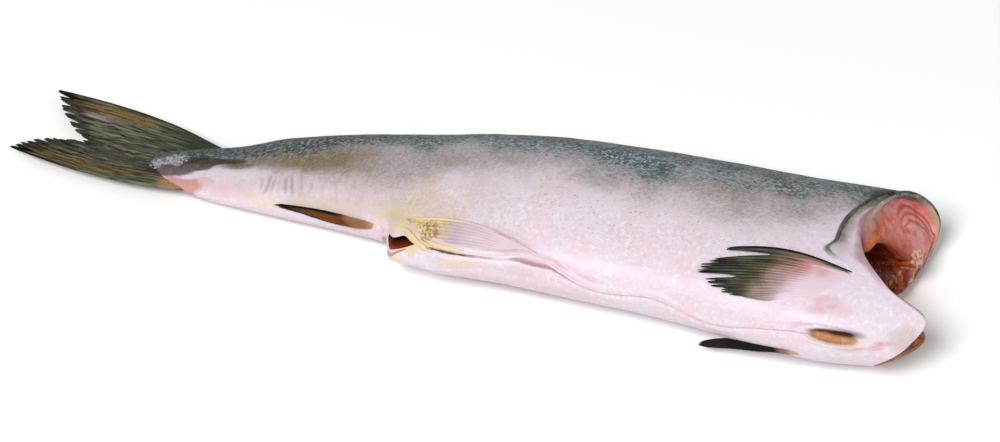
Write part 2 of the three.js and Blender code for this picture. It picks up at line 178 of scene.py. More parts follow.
def bump(centre, half, value):
    """A soft hill, 1 at the centre and 0 at half to either side."""
    return fall(0, half, np.abs(value - centre))


def curve_through(x, y):
    """A smooth curve through values at rising positions that never overshoots a value."""
    x = np.asarray(x, float)
    y = np.asarray(y, float)
    span = np.diff(x).reshape((-1,) + (1,) * (y.ndim - 1))
    rise = np.diff(y, axis=0) / span
    before, after = rise[:-1], rise[1:]
    same = before * after > 0
    slope = np.concatenate([
        rise[:1],
        np.where(same, 2 * before * after / np.where(same, before + after, 1), 0),
        rise[-1:],
    ])

    def curve(at):
        at = np.asarray(at, float)
        i = np.clip(np.searchsorted(x, at, side="right") - 1, 0, len(x) - 2)
        shape = at.shape + (1,) * (y.ndim - 1)
        w = (x[i + 1] - x[i]).reshape(shape)
        t = np.clip((at - x[i]).reshape(shape) / w, 0, 1)
        ease = t * t * (3 - 2 * t)
        inside = mix(y[i], y[i + 1], ease) + w * t * (1 - t) * (slope[i] * (1 - t) - slope[i + 1] * t)
        below = np.minimum(at - x[0], 0).reshape(shape) * slope[0]
        above = np.maximum(at - x[-1], 0).reshape(shape) * slope[-1]
        return inside + below + above

    return curve


def curve_round(pairs):
    """The same for values round a full turn, in degrees."""
    x, y = np.array(pairs, float).T
    curve = curve_through(np.concatenate([x - 360, x, x + 360]), np.tile(y, 3))
    return lambda turn: curve(np.mod(turn, 360))


def from_pairs(pairs):
    return curve_through(*zip(*pairs))


def from_back(turn):
    """Degrees from the back, whichever way round."""
    turn = np.mod(turn, 360)
    return np.minimum(turn, 360 - turn)


def cosine(turn):
    return np.cos(np.radians(turn))


def sine(turn):
    return np.sin(np.radians(turn))


def grain(points, size, seed=0):
    """Smooth noise between 0 and 1, with blobs of about a size."""
    at = points / size
    cell = np.floor(at).astype(np.int64)
    part = at - cell
    part = part * part * (3 - 2 * part)
    total = np.zeros(points.shape[:-1])
    for corner in product((0, 1), repeat=3):
        n = ((cell + corner) * (374761393, 668265263, 1442695041)).sum(-1) + seed * 1274126177
        n = (n ^ (n >> 13)) * 1103515245
        value = ((n ^ (n >> 16)) & 0xFFFF) / 0xFFFF
        weight = np.where(np.array(corner) == 1, part, 1 - part).prod(-1)
        total += value * weight
    return total


def layered_grain(points, size, seed=0):
    """Noise with finer noise on it."""
    rough = grain(points, size, seed)
    fine = grain(points, size / 2.3, seed + 1)
    finest = grain(points, size / 5.1, seed + 2)
    return (rough * 4 + fine * 2 + finest) / 7


def uneven(k):
    """Fixed uneven number between 0 and 1 for each ray."""
    wave = np.sin(np.asarray(k) * 12.9898 + 4.1) * 43758.5453
    return wave - np.floor(wave)


# ---- form functions ------------------------------------------------------------------------------------

station_x, *station_values = zip(*STATIONS)
back_y, belly_y, half_thickness, middle_z = (curve_through(station_x, values) for values in station_values)
rim_x = curve_round(RIM)
collar_width = from_pairs(COLLAR_WIDTH)
slit_turn = from_pairs(SLIT)
cavity_roof = from_pairs([(x, roof) for x, roof, _ in CAVITY])
cavity_wall = from_pairs([(x, wall) for x, _, wall in CAVITY])


def belly_sag(x, turn):
    """How far the cut belly hangs below the smooth keel line."""
    rear, deepest, end = BELLY_FLAP_X
    along = smooth(rear, deepest, x) * fall(deepest, end, x)
    return BELLY_FLAP * along * fall(0, BELLY_FLAP_SPREAD, np.abs(np.mod(turn, 360) - 180))


def skin_point(x, turn):
    """Point of the outer form."""
    x, turn = np.broadcast_arrays(np.asarray(x, float), np.asarray(turn, float))
    c, s = cosine(turn), sine(turn)
    y = mix(belly_y(x), back_y(x), 0.5 + 0.5 * c) - belly_sag(x, turn)
    z = middle_z(x) + half_thickness(x) * s * (1 + SHOULDER_FULLNESS * c)
    return np.stack([x, y, np.maximum(z, 0)], -1)


def press_in(points, depth):
    """Moves points of the skin towards the middle of their section; a negative depth lifts them."""
    x = points[..., 0]
    heart = np.stack([x, mix(belly_y(x), back_y(x), 0.5), middle_z(x)], -1)
    away = points - heart
    length = np.linalg.norm(away, axis=-1)
    moved = heart + away * (1 - depth / length)[..., None]
    moved[..., 2] = np.maximum(moved[..., 2], 0)
    return moved


def lean_to_slit(x, column):
    """Columns lean over so that the one at the keel follows the wandering belly cut."""
    column = np.mod(column, 360)
    reach = np.clip(1 - np.abs(column - 180) / 90, 0, 1)
    return column + (slit_turn(x) - 180) * reach * reach * (3 - 2 * reach)


def skin_at_height(x, y):
    """Upper and lower height of the outer form at x and y."""
    c = np.clip((y - belly_y(x)) / (back_y(x) - belly_y(x)) * 2 - 1, -1, 1)
    reach = half_thickness(x) * np.sqrt(1 - c * c) * (1 + SHOULDER_FULLNESS * c)
    return middle_z(x) + reach, np.maximum(middle_z(x) - reach, 0)


def cavity_point(x, turn):
    """Point of the empty cavity's wall."""
    x, turn = np.broadcast_arrays(np.asarray(x, float), np.asarray(turn, float))
    belly_wall = mix(BELLY_WALL, THROAT_WALL, smooth(*THROAT_X, x))
    tilt = -2 * sine(turn) * np.maximum(cosine(turn), 0) * MOUTH_TILT * smooth(*MOUTH_TILT_X, x)
    square = MOUTH_SQUARE * smooth(*MOUTH_TILT_X, x) * (sine(turn) > 0) * (cosine(turn) > 0)
    rise = np.where(square > 0, np.abs(cosine(turn)) ** (1 - square), cosine(turn))
    lift = np.where(tilt > 0, tilt, tilt / 4)
    level = mix(belly_y(x) + belly_wall, cavity_roof(x), 0.5 + 0.5 * rise) + lift
    top, bottom = skin_at_height(x, level)
    half = np.maximum((top - bottom) / 2 - cavity_wall(x), CAVITY_TIP_HALF)
    z = (top + bottom) / 2 + half * sine(turn)
    return np.stack([x, level - belly_sag(x, turn), np.maximum(z, CAVITY_FLOOR_Z)], -1)


def beyond_meat(column):
    """0 where the section is meat, 1 where it is belly wall."""
    return smooth(MEAT_EDGE, WALL_EDGE, from_back(column))


def cut_x(column, z):
    """Where the oblique cut lies at a height of a column."""
    plane = mix(CUT_UPPER[0], CUT_LOWER[0], (CUT_UPPER[1] - z) / (CUT_UPPER[1] - CUT_LOWER[1]))
    past = CUT_PAST_RIM * np.maximum(sine(column), 0) - CUT_UNDER_RIM
    return np.minimum(plane, rim_x(column) + past)


def mouth_x(column, wall_x):
    """Front edge of the cavity: at the backbone in the meat, near the rim in the belly wall."""
    height = cavity_point(MOUTH_X, column)[..., 2]
    return mix(np.minimum(cut_x(column, height), MOUTH_X), wall_x, beyond_meat(column))


def to_frame(points):
    """Points of the fish's own axes as metres in the frame."""
    low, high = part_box(NODE)
    origin = np.array([low.x - TAIL_TIP_X * MM, high.y - BACK_TOP_Y * MM, 0])
    return np.asarray(points) * MM + origin


# ---- body mesh -----------------------------------------------------------------------------------------


def column_turns():
    """Mesh columns round the section: close together at the belly cut, wide apart on the table side."""
    turn = np.linspace(SEAM_TURN, SEAM_TURN + 360, 7201)
    density = 1 + 5 * bump(180, 9, turn) + 1.2 * bump(162, 24, turn)
    density *= mix(1, 0.6, smooth(200, 225, turn)) * mix(0.6, 1, smooth(-60, -20, turn))
    total = np.concatenate([[0], np.cumsum(density[1:])])
    columns = np.interp(np.linspace(0, total[-1], COLUMNS + 1), total, turn)
    columns[np.abs(columns - 180).argmin()] = 180
    return columns


def row_places():
    """Mesh rows along the skin: close together at the creases by the tail and at the fold in front."""
    t = np.linspace(0, 1, 4001)
    density = from_pairs(ROW_DENSITY)(t)
    total = np.concatenate([[0], np.cumsum(density[1:])])
    return np.interp(np.linspace(0, total[-1], SKIN_ROWS + 1), total, t)


def collar_ring(columns, along, dip):
    """The bare band between the scaled skin's edge and the bony rim."""
    start, full, fading, end = COLLAR_REACH
    angle = from_back(columns)
    bare = smooth(start, full, angle) * fall(fading, end, angle)
    x = rim_x(columns) - collar_width(angle) * (1 - along)
    step = SKIN_FOLD if along < 1 else 0
    proud = COLLAR_RISE * dip * fall(30, 62, angle)
    return press_in(skin_point(x, lean_to_slit(x, columns)), (step + COLLAR_DIP * dip) * bare - proud)


def cut_ring(columns, index, to_cavity):
    """A ring of the sliced face: meat at the back, belly wall below."""
    inset = mix(MEAT_INSET, MEAT_INSET_UPPER, np.maximum(sine(columns), 0))
    edge = press_in(skin_point(rim_x(columns), columns), inset)
    wall_x = rim_x(columns) - WALL_STEP * (index + 1)
    mouth = cavity_point(mouth_x(columns, wall_x), columns)
    meat_x = mix(cut_x(columns, edge[..., 2]), mouth[..., 0], to_cavity)
    meat_x = meat_x + MEAT_DOME * math.sin(math.pi * to_cavity)
    return np.stack([
        mix(meat_x, wall_x, beyond_meat(columns)),
        mix(edge[..., 1], mouth[..., 1], to_cavity),
        mix(edge[..., 2], mouth[..., 2], to_cavity),
    ], -1)


# Rings in front of the scaled skin, and how many mesh rows lead up to each one. Their numbers run from 0 at
# the fold to 4 at the rim, 5 at the lip, 9 where the cavity begins, and on to its far end.
COLLAR_PROFILE = [(0.08, 0.3, 2), (0.35, 1, 4), (0.7, 0.7, 4), (1, 0, 5)]
LIP_ROWS = 4
FACE_PROFILE = [(0, 4), (0.34, 9), (0.68, 9), (1, 9)]
CAVITY_STEP_ROWS = 2
LIP_RING = 5
FACE_RINGS = (4.6, 9)         # where the sliced face's finish starts, and the lining's


def body_grid():
    """The whole skin as rows of points: over the flank, the collar and the cut, and back along the cavity."""
    columns = column_turns()
    rows = []
    for t in row_places():
        x = mix(TAIL_ROOT_X, fold_x(columns), t)
        rows.append(skin_point(x, lean_to_slit(x, columns)))
    rings, counts = [rows[-1]], []
    for along, dip, count in COLLAR_PROFILE:
        rings.append(collar_ring(columns, along, dip))
        counts.append(count)
    rings.append(press_in(skin_point(rim_x(columns) - 0.3, columns), RIM_LIP))
    counts.append(LIP_ROWS)
    for index, (to_cavity, count) in enumerate(FACE_PROFILE):
        rings.append(cut_ring(columns, index, to_cavity))
        counts.append(count)
    front = mouth_x(columns, rim_x(columns) - len(FACE_PROFILE) * WALL_STEP)
    for i in range(1, CAVITY_ROWS + 1):
        x = mix(front, CAVITY_END_X, (i / CAVITY_ROWS) ** CAVITY_ROW_GROWTH)
        rings.append(cavity_point(x, columns))
        counts.append(CAVITY_STEP_ROWS)
    curve = curve_through(np.arange(len(rings)), np.array(rings))
    steps = np.concatenate([k + np.arange(1, count + 1) / count for k, count in enumerate(counts)])
    ring_of_row = np.concatenate([np.zeros(SKIN_ROWS + 1), steps])
    points = np.concatenate([np.array(rows), curve(steps)])
    return columns, ring_of_row, points


def relax(points, weight, rounds):
    """Evens out a closed grid of points where the weight is above 0."""
    for _ in range(rounds):
        ring = points[:, :-1]
        beside = (np.roll(ring, 1, 1) + np.roll(ring, -1, 1)) / 2
        along = ring.copy()
        along[1:-1] = (ring[:-2] + ring[2:]) / 2
        moved = mix(ring, (beside + along) / 2, weight[:, None, None])
        points = np.concatenate([moved, moved[:, :1]], 1)
    return points


def grid_normals(points):
    """Outward normals of a closed grid of points."""
    ring = points[:, :-1]
    along = np.gradient(ring, axis=0)
    round_ = np.roll(ring, -1, 1) - np.roll(ring, 1, 1)
    normal = np.cross(round_, along)
    normal /= np.maximum(np.linalg.norm(normal, axis=-1, keepdims=True), 1e-9)
    return np.concatenate([normal, normal[:, :1]], 1)


# ---- relief of the skin, millimetres outwards ----------------------------------------------------------

SLIT_X = (-8, 174)            # ends of the belly cut
SLIT_DEPTH = 1.5
SLIT_HALF = 0.6
SLIT_FADE = 2
GAPE_X = (26, 56)             # the cut gapes here
CREASE_X = (58, 84)           # further on it is only a crease
GAPE_HALF = 1.15
LIP_HEIGHT = 0.6
SLIT_WEIGHT = [
    (-10, 1), (8, 1), (13, 0.5), (21, 0.35), (23, 0.12), (28, 0.15), (38, 0.75), (50, 0.6), (62, 0.28),
    (180, 0.25),
]
# Creases across the tail's root: x, strength; they run over a span of turns.
WRINKLES = [
    (-104, 0.5), (-100.5, 1), (-97.3, 0.85), (-93.6, 0.4), (-90.5, 1), (-87.8, 0.85), (-83.5, 0.4),
    (-78.5, 0.6), (-74.8, 0.3), (-71.5, 0.5), (-64, 0.3),
]
WRINKLE_TURNS = (108, 122, 140, 156)
WRINKLE_LEAN = 0.05
WRINKLE_DEPTH = 1.2
WRINKLE_HALF = 1.3
VENT = {"x": -25, "turn": 168, "half_x": 9, "half_turn": 15, "slant": 0}
THROAT = {"x": 184, "turn": 165.5, "half_x": 12.5, "half_turn": 6.5, "slant": 0.16, "depth": 2.6}
THROAT_HOLE = {"x": 187.5, "turn": 160.8, "half_x": 5.5, "half_turn": 2.2, "slant": 0.05}
# Outlines of the openings into the cavity: x and turn.
VENT_OUTLINE = [
    (-31.8, 171), (-31, 164.5), (-28.6, 160.4), (-25.5, 158), (-22.5, 156), (-19.5, 157.3), (-16.3, 160),
    (-19, 163.5), (-23, 167.3), (-26, 169.7), (-29, 172.3), (-31, 173),
]
THROAT_OUTLINE = [
    (182.5, 160.8), (185, 159.2), (188, 158.6), (191, 159), (192.5, 160.6), (190, 162.6), (186, 162.4),
]
OPENING_REACH = (5, 9)        # millimetres outside and inside the skin
OPENING_STEPS = 8             # from one point of an outline to the next
OPENING_LOWEST_Z = 0.5
UNDULATION = 0.55
RIPPLE = 0.22
LATERAL_TURN = 94
LATERAL_DEPTH = 0.12


def keel_mm(x, turn, line):
    """Distance round the keel from a line, in millimetres, more being further to the table side."""
    return (turn - line) * np.radians(1) * half_thickness(x)


def oval(x, turn, at):
    """Distance from the middle of an oval in the skin, 1 at its edge."""
    middle = at["turn"] + at["slant"] * (x - at["x"])
    return np.hypot((x - at["x"]) / at["half_x"], (turn - middle) / at["half_turn"])


def cut_share(x, turn):
    """The groove of the belly cut, 1 along its bottom; then its reach, the distance from it, and its gape."""
    along = smooth(SLIT_X[0] - SLIT_FADE, SLIT_X[0], x) * fall(SLIT_X[1], SLIT_X[1] + SLIT_FADE, x)
    gape = bump(sum(GAPE_X) / 2, (GAPE_X[1] - GAPE_X[0]) / 2, x)
    wander = 0.85 + 0.4 * np.sin(x * 0.9) * np.sin(x * 0.37)
    half = SLIT_HALF * mix(1, 0.6, smooth(*CREASE_X, x)) * wander + GAPE_HALF * gape
    side = keel_mm(x, turn, slit_turn(x)) - GAPE_HALF * gape
    return along * fall(0.35, 1, np.abs(side) / half), along, side, gape


def slit_weight(x):
    """How open the belly cut is along the fish."""
    return from_pairs(SLIT_WEIGHT)(x)


def wrinkle_share(x, turn):
    """1 in the creases by the tail."""
    low, full, fading, high = WRINKLE_TURNS
    share = np.zeros(np.broadcast(x, turn).shape)
    for k, (at, strength) in enumerate(WRINKLES):
        start = 10 * uneven(k)
        zone = smooth(low + start, full + start, turn) * fall(fading - start, high - start, turn)
        line = at + WRINKLE_LEAN * (turn - 122) + 0.9 * np.sin((turn - 120) * 0.11 + k)
        share = np.maximum(share, strength * zone * bump(line, WRINKLE_HALF, x))
    return share


def skin_relief(x, turn, points):
    """How far the skin stands out from the plain form."""
    groove, along, side, gape = cut_share(x, turn)
    relief = -SLIT_DEPTH * slit_weight(x) * groove
    relief += LIP_HEIGHT * along * bump(-2.4, 2.6, side)
    relief += 0.6 * LIP_HEIGHT * along * bump(2.6 + GAPE_HALF * gape, 2.8, side)
    relief -= WRINKLE_DEPTH * wrinkle_share(x, turn)
    relief += 0.6 * bump(1.25, 0.5, oval(x, turn, VENT))
    relief -= THROAT["depth"] * fall(0.5, 1.1, oval(x, turn, THROAT))
    relief += 0.7 * bump(1.25, 0.35, oval(x, turn, THROAT))
    relief -= LATERAL_DEPTH * bump(LATERAL_TURN, 1.6, from_back(turn)) * smooth(-150, -120, x)
    swell = layered_grain(points * (0.55, 1, 1), 17, 5) - 0.5
    ripple = layered_grain(points, 5.5, 15) - 0.5
    open_side = smooth(2, 7, points[..., 2])
    return relief + (UNDULATION * swell + RIPPLE * ripple) * open_side


# ---- cover of colours over the skin --------------------------------------------------------------------

# Lower edge of the dark back, and of the greyer band below it: x, degrees from the back.
BACK_EDGE = [
    (-166, 116), (-155, 112), (-148, 103), (-142, 96), (-128, 88), (-115, 88), (-91, 88), (-71, 82),
    (-53, 74), (-43, 74), (-26, 78), (-11, 66), (8, 72), (35, 69), (55, 74), (66, 80), (84, 81), (94, 77),
    (112, 70), (130, 70), (148, 70), (160, 67), (171, 63), (190, 58),
]
FADE_EDGE = [
    (-166, 92), (-138, 102), (-111, 109), (-84, 119), (-64, 118), (-42, 122), (-29, 114), (-16, 104), (0, 98),
    (21, 96), (38, 92), (59, 96), (78, 97), (97, 98), (116, 100), (135, 98), (153, 94), (166, 86), (180, 74),
]
EDGE_WANDER = 22
BACK_SOFTNESS = 17
FADE_SOFTNESS = 24

# Soft uneven spots: x, turn, half length, half height in degrees, strength.
SPOTS = {
    "olive": [
        (-80, 96, 42, 22, 1.0), (-112, 92, 20, 14, 0.9), (-13, 91, 14, 8, 0.3), (14, 85, 9, 6, 0.3),
        (-30, 68, 13, 9, 0.6), (132, 58, 18, 10, 0.4), (142, 71, 10, 9, 0.35), (116, 82, 18, 10, 0.25),
        (160, 60, 20, 11, 0.3), (60, 92, 18, 7, 0.25), (150, 88, 18, 8, 0.2), (-128, 96, 10, 10, 0.6),
        (112, 46, 24, 10, 0.3), (150, 46, 16, 8, 0.3),
    ],
    "brown": [(-118, 104, 14, 7, 0.5)],
    "rust": [(-35, 197, 3.5, 20, 0.95), (-36, 174, 2, 10, 0.5)],
    "yellow": [
        (-14, 126, 22, 18, 0.25), (-24, 142, 13, 9, 0.55), (-36, 150, 8, 20, 0.15), (-28, 151, 9, 6, 0.6),
        (-24, 185, 9, 10, 0.5), (-10, 158, 12, 6, 0.8), (-70, 152, 22, 12, 0.3), (42, 98, 18, 9, 0.12),
        (6, 171, 14, 5, 0.5), (-95, 166, 18, 14, 0.5), (-20, 165, 9, 7, 0.8), (-100, 150, 14, 8, 0.3),
        (-56, 176, 16, 8, 0.6), (-38, 160, 6, 12, 0.2), (-26, 178, 10, 5, 0.5),
    ],
    "blush": [
        (24, 150, 18, 7, 0.3), (46, 158, 18, 6, 0.3), (60, 166, 18, 5, 0.3), (176, 121, 9, 4, 0.8),
        (168, 130, 6, 3, 0.3), (178, 139, 9, 5, 0.5), (174, 146, 6, 4, 0.5), (184, 144, 8, 5, 0.35),
        (201, 172, 8, 4, 0.95), (206, 167, 5, 3, 0.8), (195, 175, 10, 5, 0.5), (-120, 150, 20, 20, 0.3),
        (120, 168, 40, 10, 0.12), (30, 190, 50, 20, 0.12),
    ],
    # silvery scales, speckled with painted glints
    "silver": [
        (-128, 138, 16, 18, 0.45), (-100, 130, 22, 20, 0.5), (-82, 134, 16, 16, 0.5), (-60, 142, 20, 12, 0.4),
        (-112, 160, 20, 10, 0.35),
    ],
    "pale": [
        (-12, 74, 20, 10, 1.0), (-44, 80, 16, 8, 0.5), (38, 78, 18, 10, 0.7), (92, 62, 14, 10, 0.5),
        (-58, 74, 14, 7, 0.4), (10, 62, 20, 12, 0.5), (104, 66, 18, 12, 0.8), (124, 62, 12, 9, 0.6),
        (158, 74, 18, 8, 0.4), (60, 52, 20, 8, 0.3),
    ],
    "mottle": [
        (70, 66, 24, 15, 1.0), (16, 66, 26, 12, 0.7), (142, 70, 14, 10, 0.8), (122, 77, 9, 8, 0.8),
        (160, 52, 24, 8, 0.6), (-28, 66, 9, 8, 0.9), (-90, 66, 46, 13, 0.7),
    ],
    "teal": [
        (70, 68, 22, 14, 1.0), (122, 77, 9, 8, 0.8), (100, 66, 14, 7, 0.4), (42, 62, 12, 7, 0.5),
        (-30, 74, 12, 9, 0.8),
    ],
    # The spots at x 216 and 218 darken the skin towards the cut lobe's edge: painted shade.
    "dull": [
        (-40, 116, 46, 38, 0.85), (-90, 128, 30, 16, 0.4), (-20, 138, 30, 18, 0.6), (10, 118, 16, 22, 0.3),
        (-64, 152, 34, 18, 0.7), (216, 165, 9, 16, 0.8), (218, 176, 6, 20, 0.6), (4, 172, 18, 8, 0.4),
        (34, 172, 22, 7, 0.35), (18, 148, 26, 12, 0.6),
    ],
    "deep": [
        (-170, 100, 10, 90, 0.85), (174, 54, 16, 12, 0.85), (147, 72, 11, 8, 0.8), (124, 76, 9, 7, 0.5),
        (84, 80, 16, 7, 0.6), (-30, 67, 10, 7, 0.7), (60, 70, 14, 9, 0.4), (-60, 62, 50, 16, 0.5),
    ],
    "dotted": [
        (64, 108, 60, 34, 1.0), (128, 106, 40, 22, 0.6), (10, 92, 20, 14, 0.6), (-50, 104, 16, 14, 0.5),
    ],
}
# Stains of the tail's root, and silvery patches with painted glints, on the body and on the fin alike: x, y,
# half length, half height, strength.
STAINS = {
    "brown": [
        (-150, -2.5, 13, 4.4, 1.0), (-139, 2.5, 12, 5, 1.0), (-129, 5, 13, 3, 0.85), (-159, -1.5, 10, 5, 0.9),
        (-121, 6, 10, 2, 0.5), (-166, -4, 9, 6, 0.8),
    ],
    "rust": [(-150, -9, 8, 4, 0.9), (-141, -10, 10, 4.5, 1.0), (-132, -7, 8, 4.5, 0.4)],
    "silver": [(-153, 5.5, 10, 6.5, 1.0), (-161, 2.5, 8, 5, 0.8)],
}
SPOT_GRAIN = 0.7


def fold_x(column):
    """Where the scaled skin ends in front."""
    return rim_x(column) - collar_width(from_back(column))


def spot_cover(spots, x, place, rough):
    """Cover by all the spots of a list; their edges wander with the rough noise."""
    clear = np.ones_like(x)
    for at_x, at_place, half_x, half_place, strength in spots:
        away = np.hypot((x - at_x) / half_x, (place - at_place) / half_place) + (rough - 0.5) * SPOT_GRAIN
        clear *= 1 - strength * fall(0.35, 1.15, away)
    return 1 - clear


def skin_covers(x, turn, ring, points):
    """Every cover of the skin by name, each between 0 and 1."""
    away = from_back(turn)
    rough = layered_grain(points, 9, 31)
    front = smooth(140, 165, x) * smooth(98, 112, away)
    under = smooth(124, 150, away + 20 * (rough - 0.5))
    return {
        **stain_covers(x, turn, points, rough),
        **back_covers(x, away, points),
        **belly_covers(x, turn),
        **throat_covers(x, turn, ring, rough),
        **collar_covers(x, turn, ring, rough),
        "plain": np.maximum(np.maximum(front, under), smooth(0, 0.1, ring)),
    }


def stain_covers(x, turn, points, rough):
    """The soft spots, and the stains at the tail's root."""
    covers = {name: spot_cover(spots, x, turn, rough) for name, spots in SPOTS.items()}
    for name, stains in STAINS.items():
        stained = spot_cover(stains, x, points[..., 1], rough) * smooth(2, 6, points[..., 2])
        covers[name] = np.maximum(covers[name], stained)
    return covers


def back_covers(x, away, points):
    """The dark back and the greyer band below it, with wandering edges, and how near the tail is."""
    wander = (layered_grain(points, 14, 41) - 0.5) * EDGE_WANDER
    back, fade = (from_pairs(edge)(x) + wander for edge in (BACK_EDGE, FADE_EDGE))
    return {
        "back": fall(back - BACK_SOFTNESS, back + BACK_SOFTNESS, away),
        "fade": fall(fade - FADE_SOFTNESS, fade + FADE_SOFTNESS, away),
        "tail": fall(-96, -34, x),
    }


def belly_covers(x, turn):
    """The belly cut: brown by the vent with painted shade in its groove, mauve flesh with painted shade where
    it gapes, a painted highlight on its upper lip, and painted shade in the creases further on and in the
    wrinkles.
    """
    groove, _, side, _ = cut_share(x, turn)
    closed = smooth(7, 13, x)
    crease_shade = groove * closed * np.clip(slit_weight(x) * 2.6, 0, 1)
    return {
        # the groove by the vent: brown flesh, with painted shade standing in for its depth
        "cut": groove * (1 - closed),
        # painted shade in the closed cut and in the wrinkles
        "crease_shade": np.maximum(crease_shade, wrinkle_share(x, turn)),
        # the open cut: mauve flesh, darkened as painted shade under the lip
        "gape": smooth(0.1, 0.9, groove) * between(27, 34, 46, 58, x),
        # painted highlight along the upper lip of the open cut
        "lip": bump(-0.9, 0.8, side) * between(24, 30, 56, 74, x),
    }


def throat_covers(x, turn, ring, rough):
    """The tan pocket under the throat with painted shade along its upper edge, its cream lip, painted dark
    shade in and round its hole, and the tan lobe on the table side.
    """
    pocket, hole = oval(x, turn, THROAT), oval(x, turn, THROAT_HOLE)
    lobe = smooth(3.3, 4.1, ring + 0.5 * (rough - 0.5)) * between(184, 196, 262, 285, turn)
    return {
        # painted dark shade in the hole under the throat and round it
        "dark": fall(0.75, 1.8, hole),
        "tan": np.maximum(fall(0.78, 1.0, pocket), lobe),
        "cream": bump(1.05, 0.12, pocket) * smooth(165, 168, turn),
        # painted shade along the pocket's upper edge and round its hole
        "pocket": bump(0.85, 0.3, pocket) * fall(160, 164, turn) + 0.4 * bump(1.6, 0.8, hole),
    }


def collar_covers(x, turn, ring, rough):
    """The bare band behind the head cut, grey with painted shade in its dip, the scaled skin's edge with a
    painted shade line at the fold, and the dark skin over the back.
    """
    away = from_back(turn)
    behind = x - fold_x(turn)
    jagged = rough - 0.5
    band = between(*COLLAR_TURNS, away)
    front = smooth(0, 0.1, ring)
    reach = mix(8, 2.0, smooth(52, 72, away))
    fold = smooth(-1.5, -0.7, behind + 1.2 * jagged) * fall(0.4, 0.9, ring + 0.4 * jagged)
    top = smooth(-7, -2.5, behind + 7 * jagged) * fall(3.6, 4.9, ring + 1.6 * jagged)
    return {
        # the bare band's grey: its dark mottled skin, and painted shade in its dip
        "collar": front * fall(reach - 0.9, reach + 0.9, ring + 1.4 * jagged) * band,
        "rim": front * band + smooth(2.9, 4.4, ring) * (1 - band) * smooth(80, 120, away),
        "slope": smooth(2.5, 3.4, ring + 1.4 * jagged) * between(58, 70, 112, 132, away),
        "spots": np.maximum(fall(0.2, 1.7, ring + 0 * x), fall(30, 58, away)) * band,
        # a dark line at the fold: partly the skin's brown edge, partly painted shade of its step
        "fold_shade": fold * between(40, 52, 106, 114, away),
        "dark_top": top * fall(48, 82, away + 4 * ring + 30 * jagged),
    }


# ---- mesh tools ----------------------------------------------------------------------------------------


def deselect():
    """Leaves edit mode and selects nothing."""
    if bpy.context.object and bpy.context.object.mode != "OBJECT":
        bpy.ops.object.mode_set(mode="OBJECT")
    bpy.ops.object.select_all(action="DESELECT")


def grid_piece(name, points, scale_map, covers=None, slots=None):
    """A closed piece from rows of points: the last column repeats the first, and each end row is one point.

    A grid primitive is bent into place, its covers are stored on its corners, and its seams are merged.
    """
    rows, columns = points.shape[:2]
    deselect()
    bpy.ops.mesh.primitive_grid_add(x_subdivisions=columns - 1, y_subdivisions=rows - 1, size=1)
    piece = bpy.context.object
    piece.name = piece.data.name = name
    mesh = piece.data
    if len(mesh.vertices) != rows * columns:
        raise RuntimeError(f"{name}: the grid has {len(mesh.vertices)} corners, not {rows * columns}")
    mesh.vertices.foreach_set("co", to_frame(points).astype(np.float32).ravel())
    for cover, values in (covers or {}).items():
        attribute = mesh.attributes.new(cover, "FLOAT", "POINT")
        attribute.data.foreach_set("value", np.asarray(values, np.float32).ravel())
    corners = np.empty(len(mesh.loops), np.int32)
    mesh.loops.foreach_get("vertex_index", corners)
    mesh.uv_layers[0].name = "surface"
    places = np.stack(scale_map, -1).reshape(-1, 2)[corners]
    mesh.uv_layers[0].data.foreach_set("uv", places.astype(np.float32).ravel())
    if slots is not None:
        first = corners.reshape(-1, 4).min(1) // columns
        mesh.polygons.foreach_set("material_index", np.asarray(slots, np.int32)[first])
    bpy.ops.object.mode_set(mode="EDIT")
    bpy.ops.mesh.select_all(action="SELECT")
    bpy.ops.mesh.remove_doubles(threshold=MERGED)
    bpy.ops.mesh.normals_make_consistent(inside=False)
    bpy.ops.object.mode_set(mode="OBJECT")
    bpy.ops.object.shade_smooth()
    return piece


def with_end_points(points):
    """Adds a first and a last row that are single points, in the middle of the rows next to them."""
    def end(row):
        return np.broadcast_to(row.mean(0), row.shape)[None]
    return np.concatenate([end(points[0]), points, end(points[-1])])


def blade_piece(name, middle, normal, thickness, across, along, covers=None):
    """A thin closed blade about a grid of middle points: rows run from root to tips, columns across the rays.

    Its thickness is 0 round all four edges, so the two faces meet there.
    """
    edge = np.ones(thickness.shape)
    edge[0] = edge[-1] = 0
    edge[:, 0] = edge[:, -1] = 0
    half = (thickness * edge / 2)[..., None] * normal

    def wrap(values):
        return np.concatenate([values, values[:, -2::-1]], 1)

    points = np.concatenate([middle + half, (middle - half)[:, -2::-1]], 1)
    covers = {name_: wrap(values) for name_, values in (covers or {}).items()}
    return grid_piece(name, points, (wrap(across), wrap(along)), covers)


def place(piece, *materials):
    """Gives a finished piece its materials and its place on the body."""
    for material in materials:
        piece.data.materials.append(material)
    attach(piece, BODY)
    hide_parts(NODE)
    return piece


# ---- shader tools --------------------------------------------------------------------------------------


class Wire:
    """A socket's value in a material. Arithmetic on it adds the nodes that work it out."""

    def __init__(self, finish, socket):
        self.finish = finish
        self.socket = socket

    def __add__(self, other):
        return self.finish.math("ADD", self, other)

    def __sub__(self, other):
        return self.finish.math("SUBTRACT", self, other)

    def __rsub__(self, other):
        return self.finish.math("SUBTRACT", other, self)

    def __mul__(self, other):
        return self.finish.math("MULTIPLY", self, other)

    def __truediv__(self, other):
        return self.finish.math("DIVIDE", self, other)

    __radd__ = __add__
    __rmul__ = __mul__


